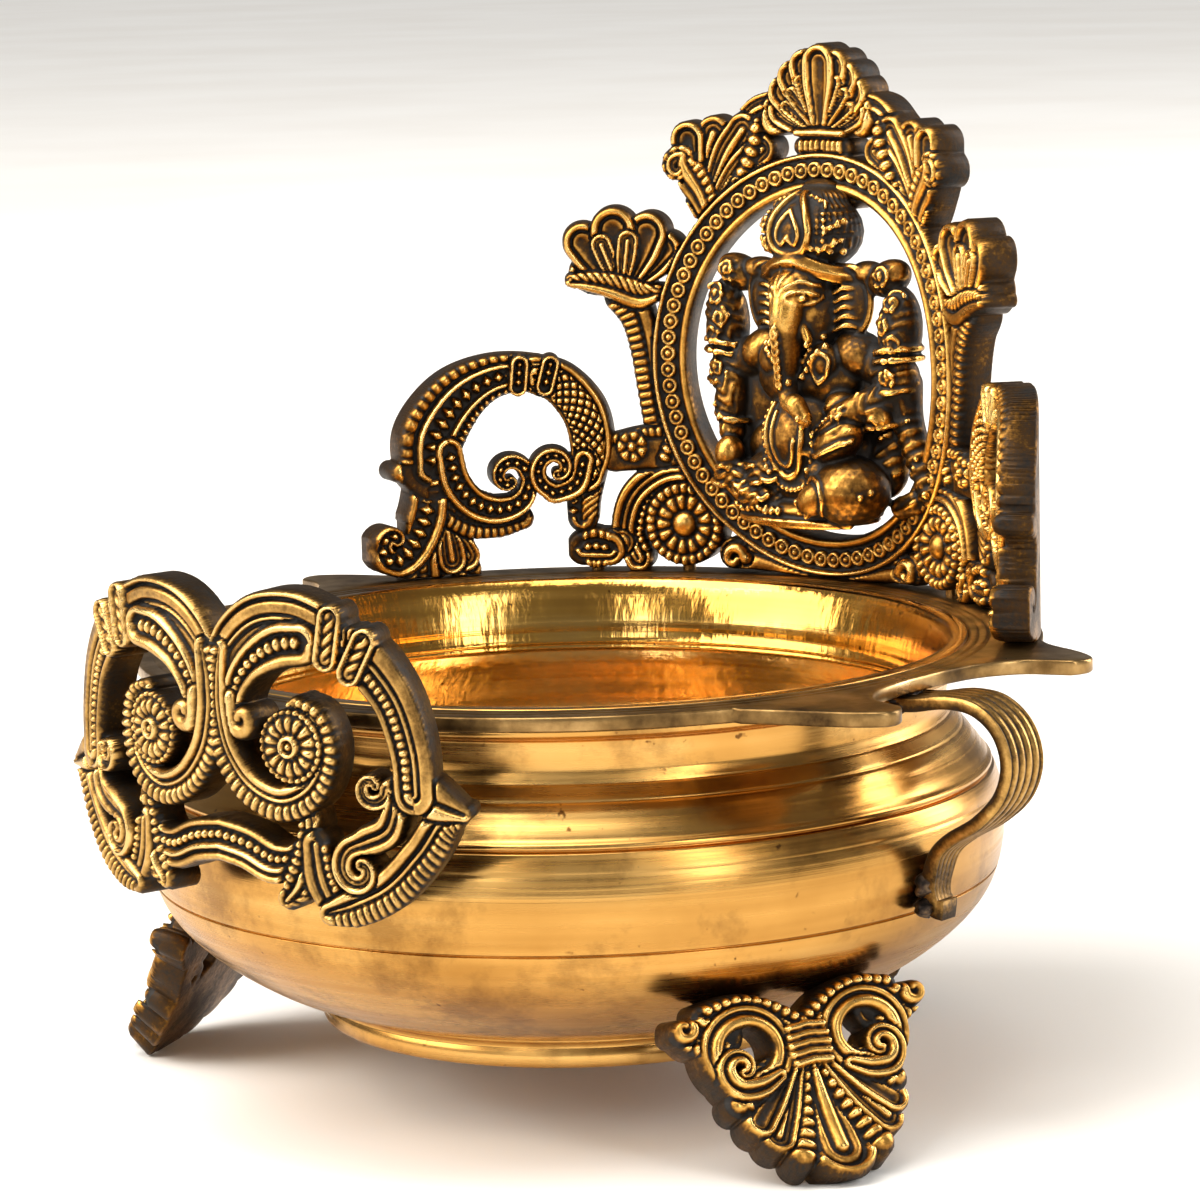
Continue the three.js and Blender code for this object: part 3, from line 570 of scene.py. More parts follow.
# turned and polished brass: bright, with hair-fine rings round the axis that draw its reflections out, and
# painted streaks of reflection banded round the axis in its colour
def turnedBrass(name, tones, roughness, ringDepth, ripple=0.0, stain=0.0):
    material, tree, shader = newMaterial(name)
    place = addNode(tree, "TexCoord").outputs["Object"]
    # tool marks are finer than this, and are drawn 0.7 mm apart so that they show
    fine = addNode(tree, "Mapping", inputs={"Vector": place, "Scale": (1 / (200 * mm), 1 / (200 * mm),
                                                                       1 / (0.7 * mm))}).outputs[0]
    broad = addNode(tree, "Mapping", inputs={"Vector": place, "Scale": (1 / (111 * mm), 1 / (111 * mm),
                                                                        1 / (5 * mm))}).outputs[0]
    rings = addNode(tree, "TexNoise", inputs={"Vector": fine, "Scale": 1.0, "Detail": 3.0,
                                              "Roughness": 0.6}).outputs["Fac"]
    bands = addNode(tree, "TexNoise", inputs={"Vector": broad, "Scale": 1.0, "Detail": 2.0}).outputs["Fac"]
    cloud = addNode(tree, "TexNoise", inputs={"Vector": place, "Scale": 1 / (34 * mm),
                                              "Detail": 4.0}).outputs["Fac"]
    specks = addNode(tree, "TexNoise", inputs={"Vector": place, "Scale": 1 / (2.6 * mm),
                                               "Detail": 2.0}).outputs["Fac"]
    # painted reflection: the broad bands lay streaks of reflection round the axis into the base colour, and
    # the clouds add tone that differs at random
    mixed = addNode(tree, "Math", {"operation": "ADD"}, {0: bands, 1: cloud}).outputs[0]
    halved = addNode(tree, "Math", {"operation": "MULTIPLY"}, {0: mixed, 1: 0.5}).outputs[0]
    colour = addNode(tree, "ValToRGB", inputs={"Fac": halved},
                     stops=[(0.36, tones[0]), (0.5, tones[1]), (0.64, tones[2])]).outputs[0]
    spotted = addNode(tree, "MapRange", inputs={"Value": specks, "From Min": 0.22,
                                                "From Max": 0.29}).outputs[0]
    tinted = addNode(tree, "Mix", {"data_type": "RGBA"},
                     {0: spotted, 6: linear(tones[3]), 7: colour}).outputs[2]
    if stain:  # brown bloom left in patches by handling
        bloom = addNode(tree, "TexNoise", inputs={"Vector": place, "Scale": 1 / (24 * mm), "Detail": 7.0,
                                                  "Roughness": 0.68}).outputs["Fac"]
        clean = addNode(tree, "MapRange", inputs={"Value": bloom, "From Min": 0.36, "From Max": 0.5,
                                                  "To Min": 1 - stain}).outputs[0]
        tinted = addNode(tree, "Mix", {"data_type": "RGBA"},
                         {0: clean, 6: linear(tones[3]), 7: tinted}).outputs[2]
    tree.links.new(tinted, shader.inputs["Base Color"])
    uneven = addNode(tree, "Math", {"operation": "ADD"}, {0: rings, 1: cloud}).outputs[0]
    rough = addNode(tree, "MapRange", inputs={"Value": uneven, "From Min": 0.7, "From Max": 1.3,
                                              "To Min": roughness[0],
                                              "To Max": roughness[1]}).outputs[0]
    tree.links.new(rough, shader.inputs["Roughness"])
    shader.inputs["Anisotropic"].default_value = 0.55
    tree.links.new(addNode(tree, "Tangent", {"direction_type": "RADIAL", "axis": "Z"}).outputs[0],
                   shader.inputs["Tangent"])
    height = addNode(tree, "Math", {"operation": "MULTIPLY_ADD"}, {0: bands, 1: 1.6, 2: rings}).outputs[0]
    bump = addNode(tree, "Bump", inputs={"Height": height, "Strength": 0.5,
                                         "Distance": ringDepth * mm}).outputs[0]
    if ripple:  # upright waves left by hand polishing
        scale = (1 / (2.6 * mm), 1 / (2.6 * mm), 1 / (26 * mm))
        tall = addNode(tree, "Mapping", inputs={"Vector": place, "Scale": scale}).outputs[0]
        waves = addNode(tree, "TexNoise", inputs={"Vector": tall, "Scale": 1.0,
                                                  "Detail": 3.0}).outputs["Fac"]
        bump = addNode(tree, "Bump", inputs={"Height": waves, "Normal": bump, "Strength": 0.5,
                                             "Distance": ripple * mm}).outputs[0]
    tree.links.new(bump, shader.inputs["Normal"])
    return material


# sand-cast brass with a dark patina rubbed off its high spots: near black hollows and warm gold ridges
def castBrass(name, tones, shift=0.0, shine=0.0):
    material, tree, shader = newMaterial(name)
    place = addNode(tree, "TexCoord").outputs["Object"]
    wear = addNode(tree, "Attribute", {"attribute_name": "wear"}).outputs["Fac"]
    # the moulding sand leaves a finer grain, drawn 0.9 mm across so that it shows
    grain = addNode(tree, "TexNoise", inputs={"Vector": place, "Scale": 1 / (0.9 * mm), "Detail": 4.0,
                                              "Roughness": 0.65}).outputs["Fac"]
    patches = addNode(tree, "TexNoise", inputs={"Vector": place, "Scale": 1 / (7 * mm),
                                                "Detail": 3.0}).outputs["Fac"]
    uneven = addNode(tree, "Math", {"operation": "MULTIPLY_ADD"}, {0: grain, 1: 0.34, 2: wear}).outputs[0]
    uneven = addNode(tree, "Math", {"operation": "MULTIPLY_ADD"},
                     {0: patches, 1: 0.42, 2: uneven}).outputs[0]
    level = addNode(tree, "Math", {"operation": "ADD"}, {0: uneven, 1: shift - 0.38}).outputs[0]
    looks = {"Base Color": list(zip((0.24, 0.38, 0.52, 0.68, 0.9), tones)),
             "Roughness": [(0.2, 0.62), (0.5, 0.38 - shine), (0.8, 0.26 - shine)],
             "Metallic": [(0.18, 0.3), (0.4, 1.0)]}
    for socket, stops in looks.items():
        tree.links.new(addNode(tree, "ValToRGB", inputs={"Fac": level}, stops=stops).outputs[0],
                       shader.inputs[socket])
    height = addNode(tree, "Math", {"operation": "MULTIPLY_ADD"}, {0: patches, 1: 2.0, 2: grain}).outputs[0]
    bump = addNode(tree, "Bump", inputs={"Height": height, "Strength": 0.55,
                                         "Distance": 0.16 * mm}).outputs[0]
    tree.links.new(bump, shader.inputs["Normal"])
    return material


# filed brass gone brown in the air: satin, with streaks and darker handling marks
def wornBrass(name):
    material, tree, shader = newMaterial(name)
    place = addNode(tree, "TexCoord").outputs["Object"]
    cloud = addNode(tree, "TexNoise", inputs={"Vector": place, "Scale": 1 / (16 * mm), "Detail": 6.0,
                                              "Roughness": 0.6}).outputs["Fac"]
    grain = addNode(tree, "TexNoise", inputs={"Vector": place, "Scale": 1 / (0.8 * mm),
                                              "Detail": 3.0}).outputs["Fac"]
    looks = {"Base Color": [(0.32, "#3f2e1b"), (0.48, "#7d6038"), (0.6, "#a98755"), (0.72, "#c5a777")],
             "Roughness": [(0.3, 0.46), (0.7, 0.26)]}
    for socket, stops in looks.items():
        tree.links.new(addNode(tree, "ValToRGB", inputs={"Fac": cloud}, stops=stops).outputs[0],
                       shader.inputs[socket])
    bump = addNode(tree, "Bump", inputs={"Height": grain, "Strength": 0.4,
                                         "Distance": 0.08 * mm}).outputs[0]
    tree.links.new(bump, shader.inputs["Normal"])
    return material


# braze left on the joints: scaly, nearly black, with dull brass showing through
def brazeScale(name):
    material, tree, shader = newMaterial(name)
    place = addNode(tree, "TexCoord").outputs["Object"]
    cloud = addNode(tree, "TexNoise", inputs={"Vector": place, "Scale": 1 / (2.5 * mm),
                                              "Detail": 5.0}).outputs["Fac"]
    looks = {"Base Color": [(0.4, "#17120f"), (0.55, "#3b2f26"), (0.7, "#7a6145")],
             "Roughness": [(0.4, 0.6), (0.7, 0.32)]}
    for socket, stops in looks.items():
        tree.links.new(addNode(tree, "ValToRGB", inputs={"Fac": cloud}, stops=stops).outputs[0],
                       shader.inputs[socket])
    shader.inputs["Metallic"].default_value = 0.8
    bump = addNode(tree, "Bump", inputs={"Height": cloud, "Strength": 0.8, "Distance": 0.5 * mm}).outputs[0]
    tree.links.new(bump, shader.inputs["Normal"])
    return material


# painted studio floor: pale, matt and faintly mottled
def paleFloor(name):
    material, tree, shader = newMaterial(name)
    shader.inputs["Metallic"].default_value = 0.0
    place = addNode(tree, "TexCoord").outputs["Object"]
    cloud = addNode(tree, "TexNoise", inputs={"Vector": place, "Scale": 1 / (333 * mm),
                                              "Detail": 4.0}).outputs["Fac"]
    colour = addNode(tree, "ValToRGB", inputs={"Fac": cloud},
                     stops=[(0.35, "#efece7"), (0.65, "#f4f2ee")]).outputs[0]
    tree.links.new(colour, shader.inputs["Base Color"])
    shader.inputs["Roughness"].default_value = 0.85
    return material


outerBrass = turnedBrass("turnedBrassOutside", ("#ad7c3b", "#c5934c", "#d8aa62", "#6f4a24"), (0.16, 0.34),
                         0.05, stain=0.6)
innerBrass = turnedBrass("polishedBrassInside", ("#e2bd7c", "#efce96", "#f6dcab", "#b39158"), (0.07, 0.2),
                         0.04, 0.34)
goldTones = ("#17110b", "#46311a", "#8f642c", "#cf9b49", "#eec678")
dullTones = ("#15110c", "#3f2e1a", "#7f5f32", "#bd9351", "#e0bc7a")
mouthBrass = turnedBrass("polishedBrassMouth", ("#b9853c", "#cf9d4d", "#e0b567", "#7d5a2c"), (0.07, 0.2),
                         0.05, 0.34)
antiqueBrass = castBrass("castBrassAntique", goldTones, -0.08)
figureBrass = castBrass("castBrassFigure", goldTones, -0.06, 0.05)
dullBrass = castBrass("castBrassDull", dullTones, -0.08)
collarBrass = wornBrass("filedBrassCollar")
brazeDark = brazeScale("brazeScale")
print("finishes made")


bowl = {"outside": [(83.7, 95), (83.7, 91.7), (85.7, 91.5), (85.6, 89.9), (82, 88.6)],
        "wall": [(80.2, 88.0), (79.1, 83), (80.0, 79.4), (83.6, 74.8), (87.3, 70), (89.8, 65), (91, 57),
                 (90.3, 49.4), (88, 42.7), (83.5, 36.8), (76.5, 31.0), (68, 25.9), (60, 22.7)],
        "inside": [(77.3, 79.4), (79.5, 76), (83, 71), (86.4, 65), (88, 57), (86, 49), (82, 41), (75, 34.5),
                   (66, 29.4), (55, 25.6)],
        "mouth": [(83.2, 95.0), (82.6, 95.15), (80.7, 95.1), (80.1, 94.6), (79.2, 93), (78.0, 90.4),
                  (77.0, 87), (76.4, 83.6), (76.3, 81.6), (75.9, 81.3), (75.9, 80.9), (76.5, 80.6),
                  (76.5, 80.2), (76.1, 79.9), (76.3, 79.5)],
        "under": 22.0, "floor": 25.0,
        # each turned line has its height, its depth or rise, and its width
        "grooves": [(67.8, 0.8, 0.26), (47.2, 0.55, 0.2), (76.2, 0.12, 0.3), (79.4, 0.1, 0.3),
                    (63.5, 0.06, 0.4)],
        "ridges": [(68.9, 0.34, 0.6), (74.4, 0.1, 0.9)], "sides": 288}


def smoothProfile(points, spacing):
    return curveThrough([(r, z, 1.0) for r, z in points], spacing=spacing)[:, :2]


# the outside of the wall from the lip down, with closer points at each turned line
def turnedWall():
    smooth = smoothProfile(bowl["wall"], 0.45)
    lines = bowl["grooves"] + bowl["ridges"]
    close = np.concatenate([height + width * np.linspace(-2.4, 2.4, 13) for height, _, width in lines])
    order = np.argsort(smooth[:, 1])
    heights = np.unique(np.round(np.concatenate([smooth[:, 1], close]), 2))[::-1]
    radii = np.interp(heights, smooth[order, 1], smooth[order, 0])
    for sign, name in ((-1, "grooves"), (1, "ridges")):
        for height, size, width in bowl[name]:
            radii += sign * size * np.exp(-(((heights - height) / width) ** 2))
    return np.column_stack([radii, heights]).tolist()


# puts a finished piece in place of its plain node
def standIn(piece, node):
    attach(piece, "root")
    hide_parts(node)


# a solid of revolution whose profile starts and ends on the axis
def vessel(name, profile, sides, materials, changes):
    profile = np.array(profile, float)
    turn = np.arange(sides) * 2 * math.pi / sides
    ring = np.stack([np.cos(turn), np.sin(turn)], -1)
    points = [(0, 0, profile[0, 1])]
    for r, z in profile[1:-1]:
        points += np.column_stack([ring * r, np.full(sides, z)]).tolist()
    points.append((0, 0, profile[-1, 1]))
    faces, slots = [], []
    rows = len(profile) - 2
    lastRow = 1 + (rows - 1) * sides
    for s in range(sides):
        t = (s + 1) % sides
        faces += [(0, 1 + t, 1 + s), (len(points) - 1, lastRow + s, lastRow + t)]
        slots += [0, len(changes)]
    for k in range(rows - 1):
        a, b = 1 + k * sides, 1 + (k + 1) * sides
        for s in range(sides):
            t = (s + 1) % sides
            faces.append((a + s, a + t, b + t, b + s))
            slots.append(sum(k >= change for change in changes))
    piece = newMesh(name, np.array(points) * mm, faces, materials[0])
    for material in materials[1:]:
        piece.data.materials.append(material)
    piece.data.polygons.foreach_set("material_index", slots)
    outward(piece)
    return piece


# from the middle of the underside up the outside, over the mouth and down to the middle of the floor
outside = [(r, bowl["under"]) for r in (0, 30, 52)] + turnedWall()[::-1] + bowl["outside"][::-1]
inside = smoothProfile(bowl["inside"], 1.0).tolist() + [(r, bowl["floor"]) for r in (40, 15, 0)]
mouthStart = len(outside) - 1
bowlPiece = vessel("bowlTurned", outside + bowl["mouth"] + inside, bowl["sides"],
                   (outerBrass, mouthBrass, innerBrass), (mouthStart, mouthStart + len(bowl["mouth"])))
standIn(bowlPiece, "bowl_body")

baseRing = {"sides": 192,
            "profile": [(51, 15.6), (54.0, 15.5), (54.8, 15.8), (55.2, 16.6), (55.2, 19.2), (54.9, 19.6),
                        (54.9, 20.4), (55.5, 21), (56.4, 21.9), (51, 21.9)]}
ringPiece = lathe("baseRingTurned", baseRing["profile"], baseRing["sides"], outerBrass)
standIn(ringPiece, "base_ring")
print("bowl turned")

collar = {"sides": 1080, "inner": 83.9, "front": 92.0, "back": 99.5, "thickness": 3.0,
          "lines": [86.3, 88.4], "lineHalf": 0.35, "lineDepth": 0.3, "edge": 0.4,
          "horn": [(81, -47), (92, -42.5), (102, -38.5), (107.5, -34), (106, -28.5), (98, -25.5),
                   (92.5, -18), (90.5, -8)],
          "backCorner": (86.5, 49), "tongue": 12.5, "reach": 100.4}


# how far out the collar reaches at each turn round the bowl's axis
def collarOutline(turns):
    horn = collar["horn"]
    side = horn + [(90.3, 0)] + [(x, -1.06 * y) for x, y in horn[:0:-1]] + [collar["backCorner"]]
    line = curveThrough([(x, y, 1) for x, y in side], spacing=0.3)
    angle, radius = np.arctan2(line[:, 1], line[:, 0]), np.hypot(line[:, 0], line[:, 1])
    order = np.argsort(angle)
    folded = np.arctan2(np.sin(turns), np.abs(np.cos(turns)))
    reach = np.interp(folded, angle[order], radius[order], left=collar["front"], right=collar["back"])
    half = collar["tongue"] / collar["reach"]
    fromFront = np.abs(folded + math.pi / 2)
    share = np.clip((half + 0.05 - fromFront) / 0.05, 0, 1)
    return reach + share * (collar["reach"] - collar["front"])


def makeCollar(name):
    sides = collar["sides"]
    turn = np.arange(sides) * 2 * math.pi / sides
    outline = collarOutline(turn)
    top, bottom = rim, rim - collar["thickness"]
    edge, half = collar["edge"], collar["lineHalf"]
    rows = [(collar["inner"], bottom), (collar["inner"], top - edge), (collar["inner"] + edge, top)]
    for r in collar["lines"]:
        rows += [(r - half, top), (r, top - collar["lineDepth"]), (r + half, top)]
    start = rows[-1][0]
    rings = [(np.full(sides, r), z) for r, z in rows]
    rings += [(start + (outline - 0.5 - start) * share, top) for share in (0.35, 0.7, 1)]
    rings += [(outline - 0.14, top - 0.16), (outline, top - 0.5), (outline, bottom + edge),
              (outline - edge, bottom)]
    rings += [(collar["inner"] + (outline - edge - collar["inner"]) * share, bottom)
              for share in (0.66, 0.33)]
    points = np.concatenate([np.column_stack([r * np.cos(turn), r * np.sin(turn), np.full(sides, z)])
                             for r, z in rings])
    faces = []
    for k in range(len(rings)):
        a, b = k * sides, (k + 1) % len(rings) * sides
        faces += [(a + s, a + (s + 1) % sides, b + (s + 1) % sides, b + s) for s in range(sides)]
    piece = newMesh(name, points * mm, faces, collarBrass)
    outward(piece)
    return piece


standIn(makeCollar("collarPlate"), "rim_collar")


strap = {"width": 12.0, "thickness": 2.6, "ribs": 5, "ribHeight": 0.55,
         "path": [(85.4, -5.2), (92, -4.9), (100, -3.6), (107, -4.4), (112.4, -8.6), (114.4, -15),
                  (112.4, -21.6), (107, -27), (100, -31.2), (96, -34.6), (94, -39), (93.2, -43),
                  (94.2, -46.2), (96.6, -46.8)],
         "braze": [(92.6, -42, 0, (2.4, 4.6, 3.4)), (92.4, -45.6, 3.4, (2, 2.4, 2.2)),
                   (92.6, -46.4, -2.6, (2, 2.6, 1.9)), (92.8, -39, 3.8, (1.8, 1.7, 2.6)),
                   (87.4, -4.6, 0, (2.6, 6.6, 1.8)), (88.6, -5.4, 4.6, (2.2, 2, 1.6)),
                   (88.2, -5.6, -4.8, (2, 2.2, 1.5))]}


# the points and faces of a ball
def roundLump(fineness):
    ball = bmesh.new()
    bmesh.ops.create_icosphere(ball, subdivisions=fineness, radius=1)
    lump = np.array([v.co for v in ball.verts]), np.array([[v.index for v in f.verts] for f in ball.faces])
    ball.free()
    return lump


def makeLoop(name, side):
    line = curveThrough([(r, up, 1) for r, up in strap["path"]], spacing=0.5)[:, :2]
    along = np.gradient(line, axis=0)
    along /= np.linalg.norm(along, axis=1)[:, None]
    normal = np.column_stack([-along[:, 1], along[:, 0]])
    share = np.linspace(0, 1, len(line))
    half = strap["width"] / 2 * np.interp(share, [0, 0.6, 0.84, 1], [1, 1, 0.6, 0.42])
    thick = strap["thickness"] / 2 * np.interp(share, [0, 0.8, 1], [1, 1, 1.5])
    across = np.linspace(-1, 1, 61)
    rib = np.abs(np.cos(math.pi * strap["ribs"] * (across + 1) / 2)) ** 0.7
    edge = 1 - 0.55 * np.clip((np.abs(across) - 0.93) / 0.07, 0, 1) ** 2
    ribbed = np.interp(share, [0, 0.12, 0.22, 0.75, 0.88], [0.2, 0.5, 1, 1, 0.1])
    points, wear = [], []
    for p, n, h, t, deep in zip(line, normal, half, thick, ribbed):
        outer = (t + strap["ribHeight"] * (0.3 + (rib - 1) * deep)) * edge
        inner = -t * (0.4 + 0.6 * edge)
        section = list(zip(across, outer)) + list(zip(across[::-1], inner[::-1]))
        for a, o in section:
            r, up = p + n * o
            points.append((side * r, a * h, rim + up))
        wear += (0.3 + 0.42 * rib * deep + 0.25 * (1 - deep)).tolist() + [0.45] * len(across)
    size = 2 * len(across)
    faces = []
    for k in range(len(line) - 1):
        for s in range(size):
            t = (s + 1) % size
            faces.append((k * size + s, k * size + t, (k + 1) * size + t, (k + 1) * size + s))
    faces += [list(range(size))[::-1], list(range((len(line) - 1) * size, len(line) * size))]
    strapFaces = len(faces)
    for r, up, aside, sizes in strap["braze"]:
        lump, sides = roundLump(3)
        broad = 0.16 * np.sin(4.1 * lump[:, 0] + aside) * np.sin(5.3 * lump[:, 1] + up)
        uneven = 1 + broad + 0.1 * np.sin(9 * lump[:, 2] + r)
        lump = lump * uneven[:, None] * (sizes[0], sizes[1], sizes[2]) + (r, aside, up + rim)
        faces += (sides + len(points)).tolist()
        points += (lump * (side, 1, 1)).tolist()
        wear += [0.2] * len(lump)
    piece = newMesh(name, np.array(points) * mm, faces, dullBrass, wear)
    piece.data.materials.append(brazeDark)
    piece.data.polygons.foreach_set("material_index", [0] * strapFaces + [1] * (len(faces) - strapFaces))
    whole = bmesh.new()
    whole.from_mesh(piece.data)
    bmesh.ops.recalc_face_normals(whole, faces=whole.faces)
    whole.to_mesh(piece.data)
    whole.free()
    return piece


for name, side, node in (("loopRight", 1, "right_loop"), ("loopLeft", -1, "left_loop")):
    standIn(makeLoop(name, side), node)
print("collar and loops made")


wing = wingOrnament()
foot = footOrnament()
archThickness, frontThickness, footThickness = (c["thickness"] for c in (archCurve, frontCurve, footCurve))
standIn(casting("archCast", archOrnament(), onArch, archThickness, antiqueBrass), "back_arch")
standIn(casting("wingLeftCast", wing, onArch, archThickness, antiqueBrass), "left_wing")
standIn(casting("wingRightCast", {**wing, "u": -wing["u"]}, onArch, archThickness, antiqueBrass),
        "right_wing")
standIn(casting("frontCast", frontOrnament(), onFront, frontThickness, dullBrass), "front_plate")
for name, degrees, node in (("footBackCast", 180, "back_foot"), ("footRightCast", 70, "right_foot"),
                            ("footLeftCast", -70, "left_foot")):
    standIn(casting(name, foot, onFoot(degrees), footThickness, antiqueBrass), node)
print("ornament cast")

